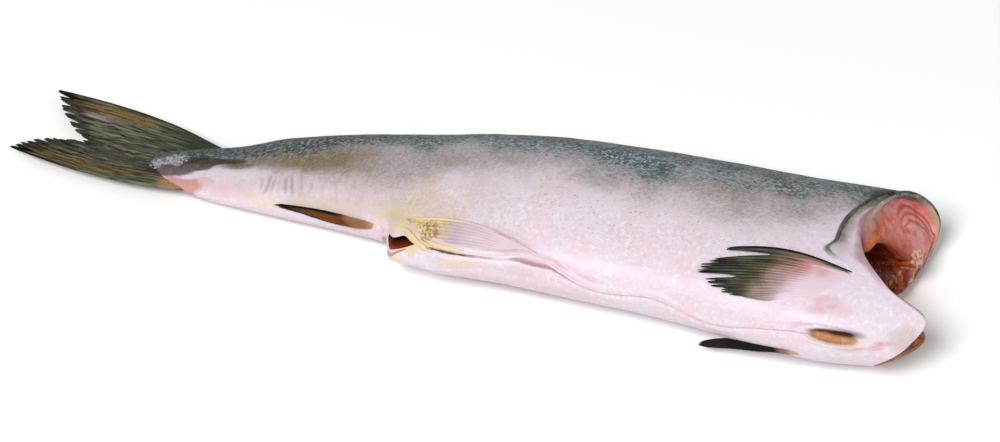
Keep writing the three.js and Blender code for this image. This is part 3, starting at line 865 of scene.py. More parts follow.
class Finish:
    """A material under construction, with one Principled shader."""

    def __init__(self, name, **constants):
        self.material = bpy.data.materials.new(name)
        self.material.use_nodes = True
        self.tree = self.material.node_tree
        self.tree.nodes.clear()
        self.shader = self.node("ShaderNodeBsdfPrincipled", sockets=constants)
        self.node("ShaderNodeOutputMaterial", sockets={"Surface": self.out(self.shader)})

    def node(self, kind, settings=None, sockets=None):
        """Adds a node, sets its settings, then fills or links its sockets, given by name or by place."""
        node = self.tree.nodes.new(kind)
        for key, value in (settings or {}).items():
            setattr(node, key, value)
        for key, value in (sockets or {}).items():
            if isinstance(value, Wire):
                self.tree.links.new(value.socket, node.inputs[key])
            else:
                node.inputs[key].default_value = value
        return node

    def out(self, node, output=0):
        return Wire(self, node.outputs[output])

    def math(self, operation, *values):
        return self.out(self.node("ShaderNodeMath", {"operation": operation}, dict(enumerate(values))))

    def vector(self, x, y):
        return self.out(self.node("ShaderNodeCombineXYZ", sockets={"X": x, "Y": y}))

    def parts(self, vector):
        node = self.node("ShaderNodeSeparateXYZ", sockets={"Vector": vector})
        return [self.out(node, k) for k in range(3)]

    def cover(self, name):
        """A cover stored on the mesh."""
        node = self.node("ShaderNodeAttribute", {"attribute_name": name})
        return self.out(node, "Fac")

    def surface_mm(self):
        """Millimetres along and round the surface."""
        node = self.node("ShaderNodeUVMap", {"uv_map": "surface"})
        return [part * MAP_MM for part in self.parts(self.out(node))[:2]]

    def object_mm(self):
        """The place on the object in millimetres."""
        sockets = {0: self.out(self.node("ShaderNodeTexCoord"), "Object"), "Scale": 1 / MM}
        return self.out(self.node("ShaderNodeVectorMath", {"operation": "SCALE"}, sockets))

    def noise(self, at, size, detail=3.0, distortion=0.0):
        """Noise between 0 and 1 with blobs of about a size in millimetres."""
        sockets = {"Vector": at, "Scale": 1 / size, "Detail": detail, "Distortion": distortion}
        return self.out(self.node("ShaderNodeTexNoise", sockets=sockets), "Fac")

    def rise(self, value, low, high):
        """0 below low, 1 above high, smooth between; low may be above high."""
        sockets = {"Value": value, "From Min": low, "From Max": high, "To Min": 0.0, "To Max": 1.0}
        return self.out(self.node("ShaderNodeMapRange", {"interpolation_type": "SMOOTHSTEP"}, sockets))

    def blend(self, factor, *colours):
        """Colour between two colours, each a wire or a colour property."""
        first, second = (each if isinstance(each, Wire) else (*each, 1.0) for each in colours)
        settings = {"data_type": "RGBA", "clamp_factor": True}
        return self.out(self.node("ShaderNodeMix", settings, {0: factor, 6: first, 7: second}), 2)

    def paint(self, first, *layers):
        """A colour with (cover, colour) layers over it, the last on top."""
        for cover, colour in layers:
            first = self.blend(cover, first, colour)
        return first

    def finish(self, colour, height=None, depth_mm=0.1, **linked):
        """Links the colour, a height in shares of a depth, and any other varying sockets."""
        self.tree.links.new(colour.socket, self.shader.inputs["Base Color"])
        for name, wire in linked.items():
            self.tree.links.new(wire.socket, self.shader.inputs[name.replace("_", " ").title()])
        if height is not None:
            sockets = {"Height": height, "Distance": depth_mm * MM, "Strength": 1.0}
            raised = self.node("ShaderNodeBump", sockets=sockets)
            self.tree.links.new(raised.outputs[0], self.shader.inputs["Normal"])
        return self.material


def colour(code):
    """A hex colour as linear red, green and blue."""
    parts = [int(code[k:k + 2], 16) / 255 for k in (0, 2, 4)]
    return tuple(p / 12.92 if p <= 0.04045 else ((p + 0.055) / 1.055) ** 2.4 for p in parts)


# ---- finishes ------------------------------------------------------------------------------------------

WET = {"Coat Weight": 0.12, "Coat Roughness": 0.24, "Specular IOR Level": 0.15}
MOIST = {"Coat Weight": 0.04, "Coat Roughness": 0.2, "Specular IOR Level": 0.12}
FLESHY = {"Subsurface Weight": 0.1, "Subsurface Radius": (1.0, 0.45, 0.35), "Subsurface Scale": 0.003}


def skin_patterns(f, look):
    """Scales, grain, streaks and speckled edges that the skin's colours share."""
    n = SimpleNamespace(at=f.object_mm())
    u, v = f.surface_mm()
    drift = f.node("ShaderNodeTexNoise", sockets={"Vector": n.at, "Scale": 1 / 7, "Detail": 2.0})
    drift_first, drift_second, drift_both = f.parts(f.out(drift, "Color"))
    along, across = u / (look.scale_length / MM), v / (look.scale_width / MM) + drift_both
    slants = (along + drift_first * 2.4 + across, along + drift_second * 2.4 - across)
    first, second = (f.math("FRACT", slant) for slant in slants)
    cell = f.vector(*(f.math("FLOOR", slant) for slant in slants))
    n.luck = f.out(f.node("ShaderNodeTexWhiteNoise", {"noise_dimensions": "2D"}, {"Vector": cell}))
    n.scale = (1 - first) * (1 - second)
    n.heart = f.rise(f.math("MINIMUM", first, second), 0.05, 0.4)

    n.patchy = f.noise(n.at, 8, 4, 0.4)
    n.grainy = f.noise(n.at, 1.9, 3, 0.3)
    n.fine = f.noise(n.at, 0.8, 2)
    n.streak = f.noise(f.vector((u - v * 1.3) * 0.13, (u * 1.3 + v) * 0.6), 1.2, 3)
    n.speck = (n.grainy - 0.5) * 1.9 + (n.luck - 0.5) * 0.35 + (n.patchy - 0.5) * 0.3

    n.cover_back, n.cover_fade = f.cover("back"), f.cover("fade")
    whole = f.rise(n.cover_back + n.cover_fade * 0.3, 0.02, 0.2)
    n.back = f.rise(n.cover_back + n.speck, 0.22, 0.85) * whole
    n.fade = f.rise(n.cover_fade + n.speck * 0.5, 0.05, 1.0) * f.rise(n.cover_fade, 0.0, 0.15)
    n.plain = f.cover("plain")
    n.scaled = 1 - n.plain
    mixed = n.luck * 0.45 + n.heart * 0.25 + n.fine * 0.3
    # bright picks scales that are painted as glints off the dark back and as pale hearts on it.
    n.bright, n.dim = f.rise(mixed, 0.48, 0.8) * n.scaled, f.rise(mixed, 0.42, 0.16) * n.scaled
    return n


def flank_paint(f, look, n):
    """The pearly flank with its grey, pink and yellow clouds, painted highlights on its scales, and painted
    shade towards the cut lobe's edge.
    """
    return f.paint(
        f.blend(f.rise(f.noise(n.at, 26, 2), 0.35, 0.65), look.flank, look.flank_rosy),
        # painted highlight: glinting specks on the flank's scales
        (f.rise(n.grainy, 0.52, 0.72) * 0.5, look.gleam),
        (f.rise(n.grainy, 0.46, 0.28) * 0.16, look.shoulder),
        # duller warm skin, and painted shade towards the cut lobe's edge
        (f.cover("dull") * (0.4 + n.patchy * 0.6), look.dull),
        (n.fade * (0.75 + n.patchy * 0.25), look.shoulder),
        (f.cover("pale") * (0.4 + n.grainy * 0.6), look.pearl),
        (f.cover("blush") * f.rise(n.patchy * 0.6 + n.grainy * 0.4, 0.3, 0.62), look.blush),
        (f.cover("yellow") * (0.4 + n.patchy * 0.9), look.yellow),
    )


def back_paint(f, look, n, paint):
    """The dark back with its scales and fine dots, the olive stains, the stained root of the tail, and
    painted highlights: glinting scales off the back and silvery glints by the tail.
    """
    tail, mottle, olive = f.cover("tail"), f.cover("mottle"), f.cover("olive")
    dotted = f.math("MINIMUM", n.cover_back + n.cover_fade * 0.6, 1.0)
    dots = f.rise(n.cover_back * 0.4 + n.cover_fade * 0.2 + n.speck, 0.5, 0.9)
    dark = f.paint(
        f.blend(tail, look.back, look.back_tail),
        (f.rise(n.patchy, 0.42, 0.7) * 0.7, look.back_green),
        (f.cover("teal"), look.teal),
    )

    def soft(name):
        """A solid cover with a soft streaky edge."""
        return f.rise(f.cover(name) + (n.streak - 0.5) * 0.5 + (n.fine - 0.5) * 0.3, 0.15, 0.8)

    return f.paint(
        paint,
        (n.cover_back * (0.26 + tail * 0.24 + n.patchy * 0.26), dark),
        (n.back * (0.68 + tail * 0.1 - f.cover("pale") * 0.5), dark),
        (f.cover("deep") * (0.35 + n.grainy * 0.5), look.back_green),
        (olive * f.rise(n.patchy, 0.1, 0.5) * (0.8 + n.streak * 0.3) * (1 - n.cover_back * 0.5), look.olive),
        (n.back * n.bright * (0.4 + mottle * 0.55), look.dash),
        (dotted * dots * 0.7, look.back_deep),
        (dotted * n.dim * (0.5 + mottle * 0.45), look.back_deep),
        # painted highlight: glinting scales off the dark back
        ((1 - n.back) * n.bright * (0.3 - n.fade * 0.1) * (1 - olive * 0.6), look.gleam),
        (olive * tail * f.rise(n.streak, 0.52, 0.66) * 0.4, look.shoulder),
        (olive * tail * f.rise(n.streak, 0.5, 0.36) * 0.5, look.back_tail),
        (n.cover_back * tail * f.rise(n.streak, 0.52, 0.68) * 0.5, look.dash),
        (n.cover_back * tail * f.rise(n.streak, 0.5, 0.36) * 0.9, look.back_deep),
        (soft("rust") * (0.55 + n.grainy * 0.4), look.rust),
        (soft("brown") * (0.7 + n.grainy * 0.3), look.brown),
        # silvery patches speckled with painted glints
        (f.rise(f.cover("silver") + (n.grainy - 0.5) * 2.4, 0.62, 1.1) * 0.9, look.silver),
    )


def front_paint(f, look, n, paint):
    """The flank's loose dots, the bare band at the head cut, the throat's pocket and the belly cut, with
    painted shade in their hollows and a painted highlight on the cut's lip.
    """
    speckle = f.node("ShaderNodeTexVoronoi", sockets={"Vector": n.at, "Scale": 1 / 2.3})
    chosen = f.rise(f.parts(f.out(speckle, 1))[0], 0.45, 0.6)
    clouds = f.rise(n.patchy, 0.35, 0.65)
    spots = f.rise(f.noise(n.at, 2.0, 3, 0.4) + f.cover("spots") * 0.3 - 0.12, 0.42, 0.72) * 0.8
    collar = f.blend(spots, look.collar, look.collar_spot)
    return f.paint(
        paint,
        (f.rise(f.out(speckle), 0.3, 0.12) * chosen * f.cover("dotted") * 0.4, look.back),
        (f.cover("rim"), f.blend(clouds, look.rim, look.flank)),
        # the bare band: mottled skin, with painted shade in its dip
        (f.cover("collar"), f.blend(f.rise(n.patchy, 0.45, 0.7) * 0.6, collar, look.shoulder)),
        (f.cover("slope") * (0.5 + n.patchy * 0.8), look.slope),
        (f.cover("dark_top") * (0.66 + f.rise(n.grainy, 0.36, 0.56) * 0.34), look.collar_spot),
        # partly the skin's brown edge, partly painted shade of the fold's step
        (f.cover("fold_shade") * 0.9, f.blend(clouds, look.collar_spot, look.fold)),
        (f.cover("tan"), f.blend(f.rise(n.grainy, 0.4, 0.7) * 0.25, look.tan, look.cream)),
        # painted shade along the throat pocket's upper edge and round its hole
        (f.cover("pocket") * 0.85, look.brown_shade),
        (f.cover("cream"), look.cream),
        # painted shade in the closed cut and in the wrinkles by the tail
        (f.cover("crease_shade") * 0.6, look.crease_shade),
        # mauve flesh of the open cut, with painted shade
        (f.cover("gape") * (0.55 + n.patchy * 0.5), look.gape),
        # painted highlight on the upper lip of the open cut
        (f.cover("lip") * 0.6, look.gleam),
        # brown flesh and painted shade in the groove by the vent
        (f.cover("cut") * 0.9, look.brown_shade),
        # painted dark shade in and round the throat's hole
        (f.cover("dark"), look.hole),
    )


def skin_finish(look):
    """Wet scaled skin: pearly flank, speckled back, stains, and the bare collar at the cut, with painted
    highlights and painted shade.
    """
    f = Finish("wet scaled skin", **WET, **FLESHY)
    n = skin_patterns(f, look)
    paint = front_paint(f, look, n, back_paint(f, look, n, flank_paint(f, look, n)))
    rough = 0.4 + n.patchy * 0.14 + n.fade * 0.08 - n.scale * n.scaled * 0.06
    height = n.scale * n.scaled * 0.8 + (n.fine * 0.35 + n.grainy * 0.5) * (0.4 + n.plain * 0.3)
    return f.finish(paint, height, look.scale_depth / MM, roughness=rough, coat_weight=0.14 - n.fade * 0.11)


def cut_finish(look):
    """The sliced face: layered meat with fat between, darker by the cavity, and the wall's pink inside."""
    f = Finish("sliced meat", **WET, **FLESHY)
    at = f.object_mm()
    patchy = f.noise(at, 5, 4, 0.5)
    broad = f.noise(at, 9, 3, 0.4)
    fine = f.noise(at, 0.9, 3)
    layer = f.math("SINE", (f.cover("arc") + patchy * 1.5 + broad * 2.2) * 2.1)
    strand = f.math("SINE", (f.cover("layers") + patchy * 1.6) * 5.2)
    seam = f.rise(layer, -0.2, 0.9) * f.cover("arcs")
    streaky = f.rise(f.noise(f.vector(f.cover("arc") * 0.9, f.cover("way") * 3), 1.1, 3), 0.42, 0.62)
    paint = f.blend(f.rise(broad, 0.4, 0.66), look.meat, look.fat)
    paint = f.paint(
        paint,
        (f.rise(patchy, 0.48, 0.68) * 0.75, look.meat_deep),
        (f.rise(layer, -0.3, -0.95) * f.cover("arcs") * 0.5, look.fat),
        (seam * f.rise(broad, 0.25, 0.45) * 0.8, look.meat_red),
        (streaky * 0.06, look.meat_red),
        (f.rise(fine, 0.58, 0.75) * 0.3, look.meat_red),
        (f.rise(broad, 0.56, 0.4) * f.rise(patchy, 0.5, 0.64) * 0.2, look.meat_orange),
        (f.cover("brown"), f.blend(f.rise(patchy, 0.38, 0.62), look.amber, look.meat_orange)),
        (f.cover("brown") * streaky * 0.2, look.wall_red),
        (f.cover("far"), f.blend(f.rise(strand, -0.6, 0.6), look.wall_red, look.amber)),
        (f.cover("far") * f.rise(strand, 0.7, 1.0) * 0.85, look.bone),
        (f.cover("blood"), look.wall_red),
        (f.cover("rind") * 0.8, look.lining),
        (f.cover("wall"), f.blend(f.rise(patchy, 0.35, 0.7), look.wall, look.wall_red)),
        (f.cover("slope") * (0.6 + patchy * 0.6), look.slope),
        (f.cover("gold"), f.blend(f.rise(patchy, 0.45, 0.7), look.gold, look.amber)),
        (f.cover("gold_line") * 0.8, look.lining),
        (f.cover("edge"), f.blend(f.rise(broad, 0.4, 0.6), look.edge, look.fat)),
        (f.cover("top") * 0.9, look.top),
        # painted black shade towards the cavity
        (f.cover("black"), look.deep),
    )
    ridges = f.rise(layer, -0.6, 0.8) * (f.cover("arcs") * 0.3) + f.cover("far") * strand * 0.5
    return f.finish(paint, ridges + fine * 0.4 + patchy * 0.6, 0.35, roughness=0.3 + patchy * 0.2)


def lining_finish(look):
    """The cavity's wall: dark red, with pale ribs showing through, and painted black shade far inside."""
    f = Finish("cavity lining", **WET, **FLESHY)
    at = f.object_mm()
    patchy = f.noise(at, 6, 4, 0.6)
    fine = f.noise(at, 1.1, 3)
    ribs = f.rise(f.math("SINE", f.cover("rib") * 1.15 + patchy * 2), 0.35, 0.95)
    fibres = f.noise(f.vector(f.cover("round") * 1.1, f.cover("rib") * 1.5), 1.0, 4, 1.6)
    paint = f.blend(f.rise(patchy, 0.3, 0.7), look.lining, look.wall_red)
    paint = f.paint(
        paint,
        (ribs * 0.5, look.amber),
        (f.rise(fibres, 0.54, 0.66) * f.cover("far_wall") * 0.7, look.gold),
        (f.rise(fibres, 0.46, 0.36) * f.cover("far_wall") * 0.6, look.deep),
        (f.cover("wall"), look.wall),
        # painted black shade far inside the cavity and on the openings' walls
        (f.cover("black"), look.deep),
    )
    return f.finish(paint, ribs * 0.5 + fibres * 0.8 + fine * 0.3, 0.5, roughness=0.25 + patchy * 0.2)


def bone_finish(look):
    """The backbone's end: cream bone with amber and tan patches, and painted dark shade in the canal."""
    f = Finish("backbone", **WET, **FLESHY)
    at = f.object_mm()
    patchy = f.noise(at, 2.2, 4, 0.6)
    paint = f.paint(
        f.blend(f.rise(patchy, 0.35, 0.6), look.bone, look.fat),
        (f.rise(patchy, 0.5, 0.62) * 0.8, look.amber),
        (f.rise(patchy, 0.42, 0.36) * 0.8, look.gold),
        (f.cover("clad"), f.blend(f.rise(patchy, 0.4, 0.6), look.amber, look.wall_red)),
        # painted shade in the canal
        (f.cover("black"), look.deep),
    )
    return f.finish(paint, patchy, 0.5, roughness=0.35 + patchy * 0.1)


def fin_finish(look):
    """Folded fin rays with thin skin between them."""
    f = Finish("fin rays", **MOIST)
    at = f.object_mm()
    across, along = f.surface_mm()
    streaks = f.noise(f.vector(across, along * 0.04), 0.8, 4)
    patchy = f.noise(at, 7, 3, 0.3)
    grainy = f.noise(at, 1.6, 3, 0.4)
    joints = f.rise(f.math("SINE", along * 2.6 + f.noise(at, 3, 2) * 5), 0.2, 0.8)
    ray = f.cover("crest")
    thin = f.noise(f.vector(across * 1.6, along * 0.05), 0.8, 3)
    paint = f.blend(f.rise(streaks * 0.6 + thin * 0.4, 0.42, 0.6), look.web, look.ray)
    paint = f.paint(
        paint,
        (ray * 0.3 * f.rise(patchy, 0.3, 0.6), look.ray),
        (f.cover("brown") * (0.75 + thin * 0.25), look.brown),
        (f.cover("ochre") * (0.3 + f.rise(streaks, 0.3, 0.6) * 0.7), look.ochre),
        (f.cover("rust") * (0.5 + streaks * 0.6), look.rust),
        (f.cover("pale") * (0.35 + streaks * 0.7), look.pale),
        (f.cover("skin") * (0.88 + streaks * 0.2), look.skin),
        (f.cover("olive"), f.blend(f.rise(grainy * 0.4 + patchy * 0.6, 0.3, 0.72), look.cream, look.olive)),
        (f.cover("spot") * f.rise(grainy, 0.38, 0.66) * 0.8, look.ochre),
        (f.cover("amber") * (0.7 + grainy * 0.4), look.amber),
        (f.cover("red") * (0.4 + f.rise(patchy, 0.3, 0.6) * 0.6), look.red),
        (f.cover("cream") * 0.8, look.cream),
        # silvery patches speckled with painted glints
        (f.rise(f.cover("silver") + (grainy - 0.5) * 2.4, 0.62, 1.1) * 0.9, look.silver),
        (f.cover("ochre") * joints * (1 - ray) * 0.4, look.black),
        (f.cover("black") * (0.8 + streaks * 0.4), look.black),
    )
    height = (ray * 0.6 + streaks * 0.4 + joints * ray * 0.12) * (1 - f.cover("skin") * 0.85)
    return f.finish(paint, height, 0.35, roughness=0.4 + streaks * 0.15)


def tissue_finish(look):
    """Pale yellow torn tissue, with a rusty flap."""
    f = Finish("torn tissue", **WET, **FLESHY)
    patchy = f.noise(f.object_mm(), 2.5, 3, 0.5)
    paint = f.paint(
        f.blend(f.rise(patchy, 0.4, 0.65), look.cream, look.yellow),
        (f.cover("brown") * (0.6 + patchy * 0.4), look.rust),
    )
    return f.finish(paint, patchy, 0.3, roughness=0.3 + patchy * 0.15)


# ---- pieces --------------------------------------------------------------------------------------------


def scale_map(x, turn, width):
    """Position along and round the skin for the scales, which shrink with the body's girth."""
    stations = np.linspace(-170, 235, 400)
    girth = back_y(stations) - belly_y(stations) + 2 * half_thickness(stations)
    growth = np.maximum(girth / np.interp(100, stations, girth), 0.45)
    along = np.concatenate([[0], np.cumsum(np.diff(stations) / growth[1:])])
    turns = np.linspace(SEAM_TURN, SEAM_TURN + 360, 721)
    section = skin_point(100, turns)
    step = np.linalg.norm(np.diff(section, axis=0), axis=1)
    round_ = np.concatenate([[0], np.cumsum(step)])
    round_ *= round(round_[-1] / width) * width / round_[-1]
    return np.interp(x, stations, along) / MAP_MM, np.interp(turn, turns, round_) / MAP_MM


def cut_covers(columns, ring, points, turn):
    """Covers of the sliced face and of the cavity behind it, with painted black shade deeper in the cavity
    and inside by the vent.
    """
    x, y, z = np.moveaxis(points, -1, 0)
    ring = ring[:, None]
    away = from_back(columns)[None]
    wall = np.broadcast_to(beyond_meat(columns), x.shape)
    near = np.clip(sine(columns), 0, 1)[None]
    heart_y, heart_z = MEAT_HEART
    from_heart = np.hypot(y - heart_y, z - heart_z)
    depth = cut_x(columns[None], z) - x
    rough = layered_grain(points, 4, 71)
    jagged = ring + 0.8 * (rough - 0.5)
    far = smooth(-0.05, 0.3, -sine(columns)) * smooth(24, 48, away)
    corner = near * smooth(44, 70, away) * smooth(5.4, 6.6, ring)
    inside_edge = near * smooth(46, 66, away) * fall(6.2, 7.0, ring + 0.6 * (rough - 0.5))
    top = fall(5.5, 6.2, ring + 0.9 * (rough - 0.5)) * smooth(0.15, 0.5, near)
    blood_y, blood_z, blood_radius = MEAT_BLOOD
    from_blood = np.hypot((y - blood_y) / blood_radius, (z - blood_z) / blood_radius)
    throat = wall * between(176, 188, 268, 288, columns)
    # painted shade: black deeper into the cavity, and inside by the vent
    inside = smooth(10, 15, ring + 2.5 * rough) * (0.35 + 0.65 * smooth(-10, 30, depth))
    by_vent = smooth(9.5, 11, ring) * between(-34, -22, -12, 10, x)
    return {
        "arc": from_heart,
        "way": np.arctan2(z - heart_z, y - heart_y),
        "arcs": between(9, 14, 20, 24, from_heart) * smooth(36, 44, y),
        "layers": ring + 0 * x,
        "rib": x * 0.32 + (turn - 180) * 0.05,
        "round": turn / 10,
        "wall": wall * fall(10, 14, ring + 3 * rough) * smooth(-0.25, 0.15, sine(columns)),
        "far_wall": fall(-0.4, -0.15, sine(columns)) * between(8, 9, 16, 26, ring),
        "edge": (1 - wall) * fall(5.2, 5.9, jagged),
        "top": top * fall(44, 66, away),
        "brown": (1 - wall) * np.maximum(corner, smooth(7.4, 8.8, jagged)),
        "far": smooth(0.35, 0.65, far + 0.5 * (rough - 0.5)) * smooth(5.6, 6.4, ring),
        "rind": between(8.4, 8.9, 9.6, 10.5, ring) + 0 * x,
        "blood": fall(0.5, 1.2, from_blood + 0.8 * (rough - 0.5)),
        "slope": np.maximum(wall * fall(5.5, 7.5, ring) * fall(112, 132, away), inside_edge * (1 - wall)),
        "gold": throat * smooth(4.4, 4.8, ring),
        "gold_line": throat * bump(4.9, 0.35, ring),
        "black": np.maximum(inside, by_vent),
    }


def body_piece(look):
    """The body as one closed surface: skin, bare band, sliced face and cavity."""
    columns, ring, points = body_grid()
    x = points[..., 0]
    turn = lean_to_slit(x, np.broadcast_to(columns, x.shape))
    at_face = (ring > 0.5) & (ring < 10)
    points = relax(points, np.where(at_face, 0.5, 0.0), 3)
    normals = grid_normals(points)
    on_skin = fall(0.05, 0.6, ring)[:, None]
    arc = np.hypot(points[..., 1] - BACKBONE["y"], points[..., 2] - BACKBONE["z"])
    rough = layered_grain(points, 3, 61)
    meat = smooth(5, 5.8, ring)[:, None] * fall(8.4, 9, ring)[:, None] * (1 - beyond_meat(columns))
    ribs = smooth(9, 10, ring)[:, None] * np.sin(x * 0.37 + (turn - 180) * 0.058 + 2 * rough)
    relief = skin_relief(x, turn, points) * on_skin
    relief = relief + meat * (0.3 * np.sin(arc * 1.2 + 6 * rough) + 1.4 * (rough - 0.5)) + 0.4 * ribs
    points = points + normals * relief[..., None]
    points[..., 2] = np.maximum(points[..., 2], 0)
    face, lining = FACE_RINGS
    on_outside = np.broadcast_to((ring <= LIP_RING)[:, None], x.shape)
    outside = skin_covers(x, turn, ring[:, None], points)
    covers = {name: values * on_outside for name, values in outside.items()}
    for name, values in cut_covers(columns, ring, points, turn).items():
        covers[name] = np.where((ring > face)[:, None], values, covers.get(name, 0))
    places = scale_map(x, turn, look.scale_width / MM)
    slots = np.where(ring < face, 0, np.where(ring < lining, 1, 2))

    def ends(values):
        return np.concatenate([values[:1], values, values[-1:]])

    covers = {name: ends(values) for name, values in covers.items()}
    return grid_piece("body", with_end_points(points), [ends(p) for p in places], covers, ends(slots))


def cut_opening(piece, outline, material):
    """Cuts an opening through the skin into the cavity; its walls are painted black as shade."""
    x, turn = (np.append(values, values[0]) for values in zip(*outline))
    t = np.linspace(0, 1, len(x))
    steps = np.linspace(0, 1, OPENING_STEPS * (len(x) - 1) + 1)
    x, turn = curve_through(t, np.stack([x, turn], -1))(steps).T
    out, inside = OPENING_REACH
    points = np.array([over_skin(x, turn, np.full(len(x), float(height)))[0] for height in (-inside, out)])
    points[..., 2] = np.maximum(points[..., 2], OPENING_LOWEST_Z)
    spread = np.zeros((4, len(x)))
    # the cutter's faces carry the black cover: painted shade on the opening's walls
    cutter = grid_piece("cutter", with_end_points(points), (spread, spread), {"black": spread + 1})
    cutter.data.materials.append(material)
    bpy.ops.object.shade_flat()
    deselect()
    bpy.context.view_layer.objects.active = piece
    piece.select_set(True)
    bpy.ops.object.modifier_add(type="BOOLEAN")
    cut = piece.modifiers[-1]
    cut.operation = "DIFFERENCE"
    cut.solver = "MANIFOLD"
    cut.object = cutter
    before = len(piece.data.polygons)
    places, covers = corner_places(piece.data), corner_covers(piece.data)
    bpy.ops.object.modifier_apply(modifier=cut.name)
    if not len(piece.data.polygons) or len(piece.data.polygons) == before:
        raise RuntimeError("an opening was not cut")
    bpy.data.objects.remove(cutter)
    carry_covers(piece.data, places, covers)


def corner_places(mesh):
    """Where the corners of a mesh are."""
    places = np.empty(3 * len(mesh.vertices), np.float32)
    mesh.vertices.foreach_get("co", places)
    return places.reshape(-1, 3)


def corner_covers(mesh):
    """The covers stored on a mesh, by name."""
    covers = {}
    for attribute in mesh.attributes:
        if attribute.domain == "POINT" and attribute.data_type == "FLOAT":
            covers[attribute.name] = np.empty(len(mesh.vertices), np.float32)
            attribute.data.foreach_get("value", covers[attribute.name])
    return covers


def carry_covers(mesh, old_places, old_covers):
    """Gives each corner that a cut has added to the skin the covers of the nearest corner from before."""
    places = corner_places(mesh)
    counts, slots = np.empty((2, len(mesh.polygons)), np.int32)
    mesh.polygons.foreach_get("loop_total", counts)
    mesh.polygons.foreach_get("material_index", slots)
    corners = np.empty(len(mesh.loops), np.int32)
    mesh.loops.foreach_get("vertex_index", corners)
    on_skin = np.unique(corners[np.repeat(slots, counts) == 0])
    tree = KDTree(len(old_places))
    for k, place_ in enumerate(old_places):
        tree.insert(place_, k)
    tree.balance()
    found = [tree.find(places[k])[1:] for k in on_skin]
    added = [(k, nearest) for k, (nearest, distance) in zip(on_skin, found) if distance > MERGED]
    if not added:
        raise RuntimeError("an opening has no new edge")
    new, nearest = np.array(added).T
    for name, values in corner_covers(mesh).items():
        values[new] = old_covers[name][nearest]
        mesh.attributes[name].data.foreach_set("value", values)


def over_skin(x, turn, height):
    """Points over the plain skin at a height, and the direction outwards there."""
    foot = skin_point(x, turn)
    top = press_in(foot, -1.0)
    out = top - foot
    out /= np.maximum(np.linalg.norm(out, axis=-1, keepdims=True), 1e-9)
    return foot + out * np.asarray(height)[..., None], out


# Fins folded against the skin. Base and tips are x and turn, from the leading ray to the last; bow bends the
# leading rays; splits are gaps between rays as (place across, width, depth).
FINS = {
    "right_pectoral_fin": {
        "rays": 18, "base": [(188.5, 119), (182, 127), (172, 137)],
        "tips": [(125, 120.5), (121.5, 130), (114.5, 136), (117, 141), (123, 146), (132, 149.5), (151, 147)],
        "bow": -7, "lift": 2.4, "thickness": 1.5, "fray": 0.07, "seed": 3,
        "splits": [
            (0.095, 0.055, 0.36), (0.53, 0.06, 0.26), (0.2, 0.015, 0.06), (0.27, 0.015, 0.09),
            (0.34, 0.015, 0.06), (0.41, 0.015, 0.1), (0.6, 0.015, 0.08), (0.67, 0.015, 0.12),
            (0.74, 0.015, 0.07), (0.82, 0.015, 0.1),
        ],
    },
    "right_pelvic_fin": {
        "rays": 10, "base": [(45, 152), (38, 158)],
        "tips": [(-24, 143.5), (-26, 147), (-22, 151.5), (-15, 156), (-5, 158.5)],
        "bow": -11, "lift": 0.9, "thickness": 0.9, "fray": 0.03, "seed": 11, "splits": [(0.45, 0.03, 0.05)],
    },
    "left_pelvic_fin": {
        "rays": 8, "base": [(54, 232), (50, 224)], "tips": [(-2, 244), (-12, 240), (-6, 230)],
        "bow": 3, "lift": 0.6, "thickness": 1.0, "fray": 0.04, "seed": 23, "splits": [],
    },
    "anal_fin": {
        "rays": 12, "base": [(-37.5, 168.5), (-41, 177)],
        "tips": [(-93, 159), (-94, 163), (-86, 168), (-77, 172.5), (-66, 177)],
        "bow": -5, "lift": 1.8, "thickness": 1.6, "fray": 0.06, "seed": 31, "splits": [(0.3, 0.03, 0.12)],
    },
    "dorsal_fin": {
        "rays": 12, "base": [(58, 356), (20, 357)], "tips": [(2, 344), (-10, 346), (-14, 353), (-8, 358)],
        "bow": -3, "lift": 1.2, "thickness": 1.2, "fray": 0.04, "seed": 43, "splits": [(0.6, 0.03, 0.1)],
    },
    "adipose_fin": {
        "rays": 4, "base": [(-84, 8), (-91, 6)], "tips": [(-97, 16), (-99, 13), (-98, 8)],
        "bow": 3, "lift": 1.3, "thickness": 2.0, "fray": 0.01, "seed": 53, "splits": [],
    },
}
COLUMNS_PER_RAY = 8
FIN_ROWS = 44
WEB_THICKNESS = 0.42          # share of a ray's thickness
TIP_THICKNESS = 0.3
FLUSH_THICKNESS = 0.75        # millimetres, where a fin melts into the skin
ROOT_SUNK = 1.4
RAY_WIDTH = 1.5


def path_through(points):
    """Curve through evenly spaced points."""
    points = np.array(points, float)
    return curve_through(np.linspace(0, 1, len(points)), points)


def fan(rays, fray, seed, splits):
    """Layout of a fin's rays: place across, height of the ray, how far each column reaches, and its rows."""
    across = np.linspace(0, 1, rays * COLUMNS_PER_RAY + 1)
    ray = np.minimum(np.floor(across * rays), rays - 1)
    crest = np.sin(math.pi * np.clip(across * rays - ray, 0, 1))
    reach = 1 - fray * uneven(ray + seed) - fray * 0.8 * (1 - crest) ** 2
    for place_across, width, depth in splits:
        reach = reach * (1 - depth * bump(place_across, width, across))
    along = np.linspace(0, 1, FIN_ROWS)[:, None] * reach
    return across[None, :], crest[None, :], along


def fin_thickness(full, crest, along):
    """Thickness of the rays and the thinner skin between them, less towards the tips."""
    thin = mix(1, TIP_THICKNESS, along ** 1.3)
    return full * thin * mix(WEB_THICKNESS, 1, crest)


